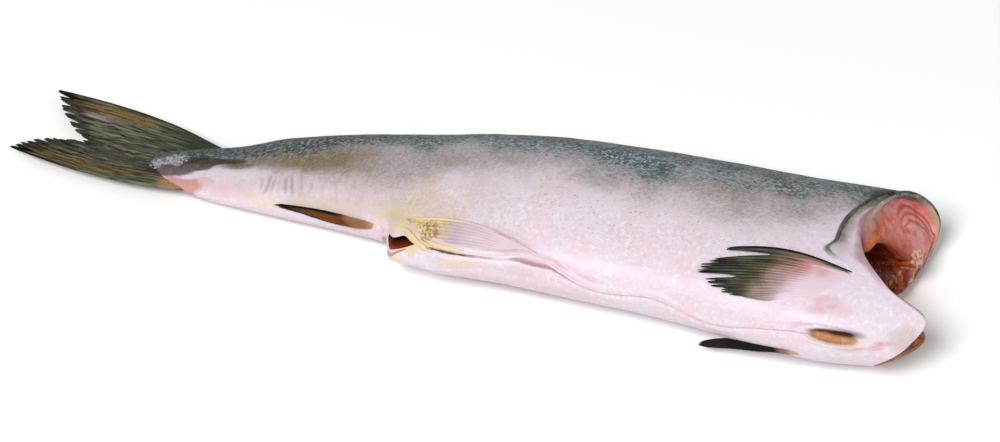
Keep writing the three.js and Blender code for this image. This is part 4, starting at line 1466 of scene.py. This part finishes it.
def skin_fin(name, fin):
    """A fin that lies on the skin, its root sunk in the flesh."""
    across, crest, along = fan(fin["rays"], fin["fray"], fin["seed"], fin["splits"])
    root, tip = (path_through(fin[key])(across[0])[None] for key in ("base", "tips"))
    place_ = mix(root, tip, along[..., None])
    turn = place_[..., 1] + fin["bow"] * (1 - across) * np.sin(math.pi * along)
    arch = np.sin(math.pi * np.clip(along * 0.8 + 0.03, 0, 1)) ** 0.7
    height = fin["lift"] * arch - ROOT_SUNK * fall(0, 0.3, along)
    wave = layered_grain(np.stack([place_[..., 0], turn, turn * 0], -1), 9, fin["seed"]) - 0.5
    height = height + 0.8 * wave * smooth(0.1, 0.5, along)
    covers = fin_covers(name, across, crest, along, skin_point(place_[..., 0], turn))
    flush = np.clip(covers["skin"], 0, 1)
    height = mix(height, -0.2, flush * smooth(0, 0.08, across))
    middle, out = over_skin(place_[..., 0], turn, height)
    thickness = mix(fin_thickness(fin["thickness"], crest, along), FLUSH_THICKNESS, flush)
    middle[..., 2] = np.maximum(middle[..., 2], thickness / 2)
    reach_mm = np.linalg.norm(skin_point(*root[0, 0]) - skin_point(*tip[0, 0]))
    places = fin_map(fin["rays"], across, along, reach_mm)
    return blade_piece(name, middle, out, thickness, *places, covers)


def fin_map(rays, across, along, reach_mm):
    """Surface map of a fin: across the rays and along them."""
    return (across * rays + 0 * along) * RAY_WIDTH / MAP_MM, along * reach_mm / MAP_MM


def fin_covers(name, v, crest, u, points):
    """Colours of each fin: v runs from the leading ray to the last one, u from the root to the tips."""
    v, crest, u = np.broadcast_arrays(v, crest, u)
    rough = layered_grain(points, 6, 91) - 0.5
    covers = {**dict.fromkeys(FIN_COVERS, 0), "crest": crest}
    if name in FIN_PAINT:
        covers.update(FIN_PAINT[name](u, v, points, rough))
    return {key: np.clip(value + 0 * u, 0, 1) for key, value in covers.items()}


def right_pectoral_covers(u, v, points, rough):
    """Dark rays, and a bare rosy root."""
    x = points[..., 0]
    bare = x - mix(163, 147, v) + 9 * rough
    first = fall(0.02, 0.055, v) * (1 - 0.5 * smooth(0.8, 0.95, u))
    tips = (0.5 + 0.45 * smooth(0.7, 1, u + 0.4 * rough)) * fall(-14, -2, bare)
    return {
        "skin": smooth(-2, 13, bare) * smooth(0.04, 0.14, v),
        "rust": 0.5 * bump(2, 12, bare) * between(0.05, 0.2, 0.4, 0.8, v),
        "ochre": 0.4 * bump(-8, 12, bare) * smooth(0.05, 0.3, v),
        "pale": smooth(-12, 1, bare) * smooth(0.1, 0.4, v),
        "black": np.maximum(first, tips),
        "red": 0.75 * bump(169, 13, x) * bump(0.2, 0.28, v) + 0.25 * bump(158, 16, x) * bump(0.3, 0.5, v),
    }


def right_pelvic_covers(u, v, points, rough):
    """Thin pinkish skin with yellow-olive ends and cream margins."""
    x = points[..., 0]
    first, last = fall(0.03, 0.12, v) * fall(-4, 14, x), smooth(0.8, 0.95, v) * fall(0, 20, x)
    return {
        "pale": 1,
        "olive": fall(-9, 3, x + 12 * rough + 4 * v),
        "spot": fall(0.5, 1.2, np.hypot((x + 12) / 7, (v - 0.5) / 0.36) + 0.8 * rough),
        "skin": mix(0.5, 0.88, smooth(2, 22, x + 16 * rough)),
        "cream": np.maximum(first, last),
        "red": 0.8 * bump(0.06, 0.1, v) * smooth(16, 26, x),
    }


def left_pelvic_covers(u, v, points, rough):
    """Skin like the flank's."""
    return {"skin": 0.8}


def anal_covers(u, v, points, rough):
    """Cream and amber root, rusty middle and black tips."""
    first = fall(0.08, 0.26, v) * smooth(0.3, 0.46, u)
    last = 0.8 * smooth(0.84, 0.97, v) * fall(0.4, 0.7, u)
    return {
        "black": np.maximum(0.9 * smooth(0.66, 0.9, u + 0.25 * rough), first),
        "ochre": 0.8 * smooth(0.5, 0.66, u + 0.3 * rough) * smooth(0.2, 0.5, v),
        "rust": fall(0.16, 0.34, np.abs(u - 0.46 + 0.3 * rough)),
        "amber": fall(0.2, 0.4, u + 0.2 * rough),
        "cream": fall(0.04, 0.16, u + 0.1 * rough) + last,
    }


def left_pectoral_covers(u, v, points, rough):
    """Black, with an amber root."""
    x = points[..., 0] + 4 * rough
    return {"black": fall(158.5, 161.5, x), "amber": 0.65 * smooth(158, 160, x), "skin": smooth(163, 167, x)}


def tail_covers(u, v, points, rough):
    """Olive rays with ochre bands, black margins and wisps, and the stains and painted silvery glints at the
    root.
    """
    x, y, _ = np.moveaxis(points, -1, 0)
    edge = np.abs(v)
    wispy = layered_grain(np.stack([x * 0.12, v * 14, 0 * x], -1), 1.0, 93) - 0.5
    ends = smooth(0.82, 0.97, u + 0.3 * wispy)
    upper = bump(0.78, 0.19, v + 0.1 * wispy) * smooth(0.35, 0.55, u + 0.2 * wispy) * fall(0.9, 0.97, u)
    lower = bump(-0.7, 0.34, v + 0.3 * wispy) * smooth(0.25, 0.5, u) * (1 - 0.6 * ends)
    glow = 0.8 * bump(0.6, 0.1, v + 0.1 * wispy) * smooth(0.6, 0.75, u + 0.2 * wispy) * (1 - ends)
    wisps = 0.3 * smooth(0.08, 0.25, wispy) * smooth(0.3, 0.5, u) * fall(0.5, 0.7, edge)
    darks = [
        smooth(0.91, 0.97, edge) * np.where(v > 0, 1, smooth(0.55, 0.8, u)),
        0.7 * ends,
        smooth(0.86, 0.93, u) * smooth(0.7, 0.85, edge),
        0.6 * smooth(0.02, 0.2, wispy - 0.1 * np.abs(v + 0.1)),
        0.5 * fall(0.2, 0.45, u) * smooth(0.1, 0.4, v),
    ]
    stained = {key: spot_cover(stains, x, y, rough + 0.5) for key, stains in STAINS.items()}
    return {
        "ochre": np.maximum(upper, 0.8 * lower),
        "pale": glow + wisps,
        "black": np.maximum.reduce(darks),
        "brown": stained["brown"],
        "silver": stained["silver"],
        "amber": 0.8 * stained["rust"],
    }


FIN_COVERS = (
    "ochre", "olive", "rust", "pale", "skin", "cream", "red", "black", "brown", "amber", "silver", "spot",
)
FIN_PAINT = {
    "right_pectoral_fin": right_pectoral_covers,
    "left_pectoral_fin": left_pectoral_covers,
    "right_pelvic_fin": right_pelvic_covers,
    "left_pelvic_fin": left_pelvic_covers,
    "anal_fin": anal_covers,
    "tail_fin": tail_covers,
}


# The other pectoral fin: its two edges from the root to the tip.
LEFT_PECTORAL = {
    "rays": 8, "fray": 0.03, "seed": 61, "splits": [(0.3, 0.04, 0.05)], "thickness": 1.6,
    "sunk": 1.2, "proud": 0.5,
    "upper": [
        (173, -43.5, 19.5), (165.6, -43.7, 20), (159.3, -42.2, 18.8), (153.5, -40.6, 17.3),
        (144, -37.5, 14.2), (138.5, -35.9, 12.7), (133.6, -34.8, 11.2), (126.4, -35.4, 8.7),
        (121.3, -37.2, 6.6),
    ],
    "lower": [
        (173, -43.2, 18.9), (165.7, -43.4, 18.3), (159.4, -41.8, 16.3), (153.3, -39.6, 13.2),
        (145.5, -38.9, 10.7), (139.4, -38.5, 9.2), (135.6, -38.3, 8.2), (126.9, -38.6, 6.6),
        (121.4, -37.8, 6),
    ],
}


def left_pectoral():
    """The other pectoral fin, folded under the belly with its tip over the table."""
    fin = LEFT_PECTORAL
    across, crest, along = fan(fin["rays"], fin["fray"], fin["seed"], fin["splits"])
    upper, lower = (path_through(fin[key])(along) for key in ("upper", "lower"))
    middle = mix(upper, lower, across[..., None])
    forward = np.gradient(middle, axis=0)
    out = np.cross(forward, np.broadcast_to((upper - lower)[:, :1] + (0, 0.3, 0.6), middle.shape))
    out /= np.linalg.norm(out, axis=-1, keepdims=True)
    out *= np.where(out[..., 1:2] > 0, -1, 1)
    rise = mix(-fin["sunk"], fin["proud"], smooth(0, 0.14, along))
    middle = middle + out * rise[..., None]
    thickness = fin_thickness(fin["thickness"], crest, along)
    covers = fin_covers("left_pectoral_fin", across, crest, along, middle)
    reach_mm = np.linalg.norm(middle[0, 0] - middle[-1, 0])
    places = fin_map(fin["rays"], across, along, reach_mm)
    return blade_piece("left_pectoral_fin", middle, out, thickness, *places, covers)


TAIL = {
    "rays": 38, "columns_per_ray": 6, "rows": 90, "root": [(-138, -10.5), (-131, 23.2)],
    "fork": (-202, 13), "ray_width": 1.2,
    "lower_lobe": [(-231, 11), (-238, -3)], "upper_lobe": [(-219, 20), (-234, 47.5)],
    "bow": 4.5, "fray": 1.6, "root_z": 9.5, "tip_z": 6.5, "root_thickness": 9, "edge_thickness": 1.2,
    "taper": 0.45, "outer_rays": 0.55, "between_rays": 0.6, "wave": 1.1, "droop": 2.5,
}
# Gaps between loose rays at the ragged ends: place across, half width, depth in millimetres.
TAIL_SPLITS = [
    (0.86, 0.03, 9), (0.71, 0.03, 6), (0.56, 0.03, 12), (0.43, 0.03, 9), (0.31, 0.03, 14), (0.18, 0.03, 9),
    (0.06, 0.025, 6), (-0.08, 0.025, 8), (-0.2, 0.03, 12), (-0.32, 0.03, 9), (-0.43, 0.03, 14),
    (-0.54, 0.03, 10), (-0.64, 0.03, 14), (-0.74, 0.03, 10), (-0.85, 0.028, 13),
]


def tail_fin():
    """The half-folded tail fin: rays between two lobes, with gaps at their ragged ends."""
    tail = TAIL
    across = np.linspace(0, 1, tail["rays"] * tail["columns_per_ray"] + 1)
    v = 2 * across - 1
    ray = np.minimum(np.floor(across * tail["rays"]), tail["rays"] - 1)
    crest = np.sin(math.pi * np.clip(across * tail["rays"] - ray, 0, 1))
    fork = np.array(tail["fork"], float)

    def lobe_tip(lobe):
        bend_, tip_ = (np.array(p, float) for p in lobe)
        t = 1 - (1 - np.abs(v)[:, None]) ** 1.35
        return mix(mix(fork, bend_, t), mix(bend_, tip_, t), t)

    tip = np.where((v > 0)[:, None], lobe_tip(tail["upper_lobe"]), lobe_tip(tail["lower_lobe"]))
    start = mix(*(np.array(p, float) for p in tail["root"]), across[:, None])
    length = np.linalg.norm(tip - start, axis=1)
    rounded = 5 * smooth(0.93, 1, np.abs(v)) ** 2
    ragged = tail["fray"] * uneven(ray + 5) * (1 - v ** 6) + 0.8 * (1 - crest) ** 2 + rounded
    for place_across, half, depth in TAIL_SPLITS:
        ragged = ragged + depth * np.sqrt(np.clip(1 - ((v - place_across) / half) ** 2, 0, 1))
    u = np.linspace(0, 1, tail["rows"])[:, None]
    reach = u * (1 - ragged / length)
    flat = mix(start[None], tip[None], reach[..., None])
    flat[..., 1] += tail["bow"] * v * np.sin(math.pi * u)
    flat[..., 1] -= tail["droop"] * np.maximum(-4 * v * (1 + v), 0) * np.sin(math.pi * u ** 2)
    swell = layered_grain(np.stack([flat[..., 0] * 0.25, v * 9 + 0 * u, 0 * flat[..., 0]], -1), 1.1, 7) - 0.5
    wave = tail["wave"] * 2 * swell * smooth(0.25, 0.7, u) * (1 - v ** 4)
    height = mix(tail["root_z"], tail["tip_z"], u) + wave
    margin = mix(tail["outer_rays"] * smooth(0.05, 0.4, u), 1, np.sqrt(np.maximum(1 - v * v, 0)))
    full = mix(tail["root_thickness"], tail["edge_thickness"], u ** tail["taper"])
    ridge = mix(mix(1, tail["between_rays"], smooth(0.2, 0.5, u)), 1, crest)
    middle = np.concatenate([flat, height[..., None]], -1)
    thickness = full * ridge * margin
    out = np.broadcast_to((0.0, 0.0, 1.0), middle.shape)
    covers = fin_covers("tail_fin", v, crest, u, middle)
    across_map = (v + 1) * tail["rays"] * (tail["ray_width"] / 2) / MAP_MM + 0 * u
    return blade_piece("tail_fin", middle, out, thickness, across_map, u * length / MAP_MM, covers)


BONE_ROWS = 60
BONE_COLUMNS = 73
BONE_END_ROW = 20             # rows after this one are the rough sliced end
BONE_CLAD_ROWS = 40           # flesh clings to the rows before this one
BONE_CANAL_ROW = 42           # rows after this one line the dark canal
STRAND_ROWS = 50
STRAND_COLUMNS = 25


def backbone_piece():
    """The sliced end of the backbone, a little proud of the slanting cut."""
    bone = BACKBONE
    radius, canal, length = bone["radius"], bone["canal"], bone["length"]
    profile = [
        (0, -length), (radius * 0.8, -length), (radius, -length * 0.5), (radius * 1.05, -0.9),
        (radius * 0.9, 0.3), (radius * 0.65, 0.9), (canal * 1.3, 0.5), (canal, -0.6),
        (canal * 0.6, -canal * 1.5), (0, -canal * 1.5),
    ]
    r, forward = path_through(profile)(np.linspace(0, 1, BONE_ROWS)).T
    turn = np.linspace(0, 360, BONE_COLUMNS)
    angle = np.radians(turn)
    wobble = 1 + 0.22 * np.sin(2 * angle + 2.2) + 0.1 * np.sin(3 * angle) + 0.05 * np.sin(7 * angle + 1)
    r = r[:, None] * wobble
    slope = math.atan2(CUT_LOWER[0] - CUT_UPPER[0], CUT_UPPER[1] - CUT_LOWER[1])
    lean = (math.cos(slope), math.sin(slope))
    across = r * sine(turn)
    points = np.stack([
        bone["x"] + lean[0] * forward[:, None] - lean[1] * across,
        bone["y"] + r * cosine(turn),
        bone["z"] + lean[1] * forward[:, None] + lean[0] * across,
    ], -1)
    rough = layered_grain(points, 2.5, 81) - 0.5
    row = np.arange(BONE_ROWS)[:, None]
    points = points + 1.1 * rough[..., None] * (row > BONE_END_ROW)[..., None] * (lean[0], 0, lean[1])
    # painted shade darkens the lining of the canal
    dark = 0.7 * (row > BONE_CANAL_ROW) * fall(canal * 0.6, canal * 1.2, r)
    clad = smooth(0.85, 1.25, r / radius + 1.2 * rough) * (row < BONE_CLAD_ROWS)
    grid_map = (np.broadcast_to(turn / 90, r.shape), np.broadcast_to(forward[:, None] / 10, r.shape))
    return grid_piece("backbone", points, grid_map, {"black": dark, "clad": clad})


# Torn strands at the vent: x, turn and height over the skin along each one, then its thickness.
STRANDS = {
    "vent_strand": (
        [(-26, 149.5, 0), (-22.5, 152, 0.6), (-18, 155.5, 1.1), (-13.5, 159, 1.1), (-8.5, 163.5, 0.1)], 4.6),
    "vent_lip": (
        [(-14, 154.5, 0), (-8, 156.2, 0.9), (-2, 157.5, 1.0), (4, 159, 0.7), (10, 160.5, -0.4)], 2.6),
    "vent_flap": (
        [(-34, 190, -0.2), (-31.5, 186, 0.5), (-28, 178, 0.6), (-24, 171, 0.4), (-18, 165, -0.5)], 1.4),
}


def strand_piece(name):
    """An uneven strand of tissue, tapering at both ends."""
    places, thickness = STRANDS[name]
    t = np.linspace(0, 1, STRAND_ROWS)
    x, turn, height = path_through(places)(t).T
    middle, out = over_skin(x, turn, height)
    forward = np.gradient(middle, axis=0)
    forward /= np.linalg.norm(forward, axis=1, keepdims=True)
    side = np.cross(out, forward)
    angle = np.linspace(0, 360, STRAND_COLUMNS)
    radius = thickness / 2 * np.sin(math.pi * t) ** 0.5 * (0.75 + 0.5 * uneven(np.floor(t * 9)))
    radius = np.convolve(np.pad(radius, 3, mode="edge"), np.ones(7) / 7, "valid") * (t > 0) * (t < 1)
    ring = out[:, None] * cosine(angle)[None, :, None] * 0.5 + side[:, None] * sine(angle)[None, :, None]
    points = middle[:, None] + ring * radius[:, None, None]
    grid_map = (np.broadcast_to(angle / 360, points.shape[:2]), np.broadcast_to(t[:, None], points.shape[:2]))
    return grid_piece(name, points, grid_map, {"brown": np.full(points.shape[:2], name == "vent_flap")})


# ---- settings ------------------------------------------------------------------------------------------


def tint(name, description, code):
    return bpy.props.FloatVectorProperty(
        name=name, description=description, subtype="COLOR", size=3, min=0, max=1, default=colour(code))


def length(name, description, millimetres):
    return bpy.props.FloatProperty(
        name=name, description=description, unit="LENGTH", subtype="DISTANCE", min=0, precision=5,
        default=millimetres * MM)


class FishSkinLook(bpy.types.PropertyGroup):
    flank: tint("Flank", "Pearly white of the flank and belly", "ccc0ca")
    flank_rosy: tint("Rosy flank", "Pinker clouds in the flank", "cdbac5")
    # silvery scales; their speckled glints are painted highlight
    silver: tint("Silver", "Silvery patches by the tail", "b1abb5")
    shoulder: tint("Shoulder", "Grey between the back and the flank", "948d8c")
    back: tint("Back", "Teal grey of the back", "566c71")
    back_green: tint("Green back", "Greener patches of the back", "3c4d47")
    back_tail: tint("Tail back", "Olive grey of the back by the tail", "2e332c")
    back_deep: tint("Scale edge", "Dark margins of the scales and fine dots", "202e30")
    dash: tint("Scale heart", "Pale hearts of the back's scales", "bcc6d0")
    olive: tint("Olive", "Olive stains", "7c6a4c")
    pearl: tint("Pearly grey", "Lilac grey patches in the back", "a5a3ae")
    # painted highlight: glints on the flank's scales and on the belly cut's upper lip
    gleam: tint("Scale gleam", "Lightest scales of the flank", "ded9e0")
    brown: tint("Brown", "Dark brown at the tail's root", "382a20")
    rust: tint("Rust", "Rusty stains", "a87058")
    yellow: tint("Yellow", "Yellow fat round the vent", "cfbb8c")
    blush: tint("Blush", "Pink flushed skin", "b97f85")
    # partly painted shade of the band's dip
    collar: tint("Collar", "Bare band behind the cut", "7f7d70")
    collar_spot: tint("Collar spots", "Dark spots of the bare band", "20241b")
    rim: tint("Rim", "Pale edge of the cut", "bda6b0")
    slope: tint("Inner slope", "Mauve brown inside of the edge", "9c7a7c")
    tan: tint("Throat pocket", "Tan inside of the opening under the throat", "a8744c")
    cream: tint("Cream lip", "Lower lip of the throat pocket", "d1ba99")
    # mauve flesh of the open belly cut, darkened as painted shade
    gape: tint("Open cut", "Mauve flesh in the open belly cut", "9f767c")
    # painted shade of the closed belly cut and of the wrinkles
    crease_shade: tint("Crease", "Closed parts of the belly cut and wrinkles", "987678")
    # brown of the cut flesh, used also as painted shade in the groove by the vent and along the throat
    # pocket's upper edge
    brown_shade: tint("Cut", "Brown inside of the belly cut by the vent", "4c2e14")
    # also painted shade towards the edge of the cut lobe
    dull: tint("Dull flank", "Duller warm skin by the vent", "ad9a90")
    teal: tint("Teal back", "Bluer patches of the back", "35565f")
    # partly painted shade of the step where the scaled skin ends
    fold: tint("Skin fold", "Brown line where the scaled skin ends", "54452c")
    # painted shade: dark in and round the hole under the throat
    hole: tint("Holes", "Dark inside of the openings", "2c1710")
    scale_length: length("Scale length", "Pitch of the scales along the body", 2.1)
    scale_width: length("Scale width", "Pitch of the scales round the body", 1.8)
    scale_depth: length("Scale depth", "Height of the scales' edges", 0.12)


class FishCutLook(bpy.types.PropertyGroup):
    meat: tint("Meat", "Raw pink meat", "c8786c")
    meat_deep: tint("Deep meat", "Deeper pink meat", "b85846")
    meat_orange: tint("Orange meat", "Orange meat by the cavity", "b8603a")
    meat_red: tint("Red seams", "Red lines between the layers", "b83a2c")
    fat: tint("Fat", "Pale fat between the layers", "cc9492")
    amber: tint("Amber", "Orange-brown flesh", "a04c24")
    wall: tint("Wall", "Mauve inside of the belly wall", "b99aa2")
    wall_red: tint("Raw wall", "Raw red of the belly wall", "74200f")
    slope: tint("Inner slope", "Mauve brown inside of the edge", "9c7670")
    lining: tint("Lining", "Dark red wall of the cavity", "5c1c10")
    edge: tint("Skin edge", "Sliced edge of the skin", "a58f78")
    top: tint("Dark rim", "Dark skin over the top of the cut", "2c3128")
    gold: tint("Golden edge", "Tan inside of the throat's edge", "b88850")
    # painted shade: black in the cavity, the openings and the backbone's canal; also the dark fibres of the
    # far wall
    deep: tint("Deep cavity", "Nearly black inside", "150503")
    bone: tint("Bone", "Cream of the backbone", "d2ac7c")


class FishFinLook(bpy.types.PropertyGroup):
    web: tint("Skin between rays", "Dark olive skin between the rays", "1e241c")
    ray: tint("Rays", "Greyer rays", "6c6d57")
    ochre: tint("Ochre", "Ochre bands", "765c34")
    olive: tint("Olive", "Yellow-olive ends of the belly fin", "a08650")
    rust: tint("Rust", "Rusty rays", "7c3c18")
    skin: tint("Skin", "Thin skin that looks like the flank", "cbb8c2")
    cream: tint("Cream", "Pale yellow margins of the belly fin", "d8c196")
    pale: tint("Pale", "Pinkish see-through skin", "a8918f")
    brown: tint("Brown", "Dark brown at the root of the tail", "33271c")
    amber: tint("Amber", "Orange-tan roots", "a67a54")
    silver: tint("Silver", "Silvery glints at the root of the tail", "b0afb6")
    red: tint("Red", "Flushed roots", "b06a62")
    black: tint("Black", "Black margins", "0b0b0a")


class FishStageLook(bpy.types.PropertyGroup):
    floor: tint("Floor", "Colour of the floor", "fefefe")
    sky: bpy.props.FloatProperty(
        name="Soft light", description="Even light from all round", min=0, default=0.33)
    key: bpy.props.FloatProperty(
        name="Main light", description="Power of the large light", min=0, unit="POWER", default=88)
    side: bpy.props.FloatProperty(
        name="Side light", description="Power of the light on the cut", min=0, unit="POWER", default=11)


# ---- operators -----------------------------------------------------------------------------------------


class BuildPiece:
    """Shared settings of the operators."""
    bl_options = {"REGISTER", "UNDO"}


class FISH_OT_body(BuildPiece, bpy.types.Operator):
    """Model the body with its skin, its sliced end and its cavity"""
    bl_idname = "fish.body"
    bl_label = "Body"

    def execute(self, context):
        skin, cut = context.scene.fish_skin_look, context.scene.fish_cut_look
        piece = place(body_piece(skin), skin_finish(skin), cut_finish(cut), lining_finish(cut))
        for outline in (VENT_OUTLINE, THROAT_OUTLINE):
            cut_opening(piece, outline, piece.data.materials[2])
        return {"FINISHED"}


class FISH_OT_backbone(BuildPiece, bpy.types.Operator):
    """Model the sliced end of the backbone"""
    bl_idname = "fish.backbone"
    bl_label = "Backbone"

    def execute(self, context):
        place(backbone_piece(), bone_finish(context.scene.fish_cut_look))
        return {"FINISHED"}


class FISH_OT_tail_fin(BuildPiece, bpy.types.Operator):
    """Model the half-folded tail fin"""
    bl_idname = "fish.tail_fin"
    bl_label = "Tail Fin"

    def execute(self, context):
        place(tail_fin(), fin_material(context))
        return {"FINISHED"}


class FISH_OT_folded_fins(BuildPiece, bpy.types.Operator):
    """Model the fins that lie folded on the skin"""
    bl_idname = "fish.folded_fins"
    bl_label = "Folded Fins"

    def execute(self, context):
        for name, fin in FINS.items():
            place(skin_fin(name, fin), fin_material(context))
        return {"FINISHED"}


class FISH_OT_left_pectoral_fin(BuildPiece, bpy.types.Operator):
    """Model the pectoral fin folded under the belly"""
    bl_idname = "fish.left_pectoral_fin"
    bl_label = "Left Pectoral Fin"

    def execute(self, context):
        place(left_pectoral(), fin_material(context))
        return {"FINISHED"}


class FISH_OT_vent_tissue(BuildPiece, bpy.types.Operator):
    """Model the torn strands at the vent"""
    bl_idname = "fish.vent_tissue"
    bl_label = "Vent Tissue"

    def execute(self, context):
        finish = tissue_finish(context.scene.fish_skin_look)
        for name in STRANDS:
            place(strand_piece(name), finish)
        return {"FINISHED"}


def fin_material(context):
    """The one finish that all the fins share."""
    made = bpy.data.materials.get("fin rays")
    return made or fin_finish(context.scene.fish_fin_look)


VIEW_TARGET = (0, 0, 22)      # millimetres in the fish's own axes
VIEW_AZIMUTH = 18
VIEW_ELEVATION = 40
VIEW_DISTANCE = 1.5
VIEW_WIDTH = 0.472            # metres across the picture at the target
VIEW_SHIFT = (0.03, -0.006)
SENSOR = 36
FLOOR_SIZE = 12
LAMP_SIZE = 1.0
KEY_OFFSET = (-0.3, -2.05, 2.2)
SIDE_OFFSET = (2.0, -0.8, 1.2)


class FISH_OT_stage(BuildPiece, bpy.types.Operator):
    """Set up the floor, the light and the camera"""
    bl_idname = "fish.stage"
    bl_label = "Stage"

    def execute(self, context):
        look = context.scene.fish_stage_look
        deselect()
        bpy.ops.mesh.primitive_plane_add(size=FLOOR_SIZE)
        floor = context.object
        floor.name = "floor"
        f = Finish("floor", **{"Specular IOR Level": 0.2})
        cloud = f.noise(f.object_mm(), 240, 2)
        floor.data.materials.append(f.finish(
            f.blend(cloud * 0.05, look.floor, (0.8, 0.8, 0.8)), roughness=0.7 + cloud * 0.1))

        world = bpy.data.worlds.new("even light")
        world.use_nodes = True
        background = world.node_tree.nodes["Background"]
        background.inputs["Color"].default_value = (1, 1, 1, 1)
        background.inputs["Strength"].default_value = look.sky
        context.scene.world = world
        context.scene.view_settings.view_transform = "Standard"

        target = Vector(to_frame(VIEW_TARGET))
        key = self.lamp("key light", look.key, Vector(KEY_OFFSET), target)
        key.data.color = (1, 0.995, 0.985)
        self.lamp("side light", look.side, Vector(SIDE_OFFSET), target)

        azimuth, elevation = math.radians(VIEW_AZIMUTH), math.radians(VIEW_ELEVATION)
        level = math.cos(elevation)
        back = Vector((math.sin(azimuth) * level, -math.cos(azimuth) * level, math.sin(elevation)))
        facing = back.to_track_quat("Z", "Y").to_euler()
        bpy.ops.object.camera_add(location=target + back * VIEW_DISTANCE, rotation=facing)
        camera = context.object
        camera.name = "camera"
        camera.data.sensor_width = SENSOR
        camera.data.lens = SENSOR * VIEW_DISTANCE / VIEW_WIDTH
        camera.data.shift_x, camera.data.shift_y = VIEW_SHIFT
        context.scene.camera = camera
        return {"FINISHED"}

    def lamp(self, name, power, offset, target):
        deselect()
        facing = offset.to_track_quat("Z", "Y").to_euler()
        bpy.ops.object.light_add(type="AREA", location=target + offset, rotation=facing)
        light = bpy.context.object
        light.name = name
        light.data.energy = power
        light.data.size = LAMP_SIZE
        return light


class FISH_PT_panel(bpy.types.Panel):
    """Pieces of the fish and their looks"""
    bl_label = "Dressed Fish"
    bl_idname = "FISH_PT_panel"
    bl_space_type = "VIEW_3D"
    bl_region_type = "UI"
    bl_category = "Dressed Fish"

    def draw(self, context):
        for look in LOOKS:
            box = self.layout.box()
            box.label(text=look)
            settings = getattr(context.scene, LOOKS[look][0])
            for name in settings.bl_rna.properties.keys():
                if name not in ("rna_type", "name"):
                    box.prop(settings, name)
        for operator in OPERATORS:
            self.layout.operator(operator.bl_idname)


LOOKS = {
    "Skin": ("fish_skin_look", FishSkinLook),
    "Cut": ("fish_cut_look", FishCutLook),
    "Fins": ("fish_fin_look", FishFinLook),
    "Stage": ("fish_stage_look", FishStageLook),
}
OPERATORS = (
    FISH_OT_body, FISH_OT_backbone, FISH_OT_tail_fin, FISH_OT_folded_fins, FISH_OT_left_pectoral_fin,
    FISH_OT_vent_tissue, FISH_OT_stage,
)


def register():
    for name, look in LOOKS.values():
        bpy.utils.register_class(look)
        setattr(bpy.types.Scene, name, bpy.props.PointerProperty(type=look))
    for part in (*OPERATORS, FISH_PT_panel):
        bpy.utils.register_class(part)


def unregister():
    for part in reversed((*OPERATORS, FISH_PT_panel)):
        bpy.utils.unregister_class(part)
    for name, look in reversed(LOOKS.values()):
        delattr(bpy.types.Scene, name)
        bpy.utils.unregister_class(look)


def main():
    register()
    bpy.ops.fish.body()
    bpy.ops.fish.backbone()
    bpy.ops.fish.tail_fin()
    bpy.ops.fish.folded_fins()
    bpy.ops.fish.left_pectoral_fin()
    bpy.ops.fish.vent_tissue()
    bpy.ops.fish.stage()


if __name__ == "__main__":
    main()
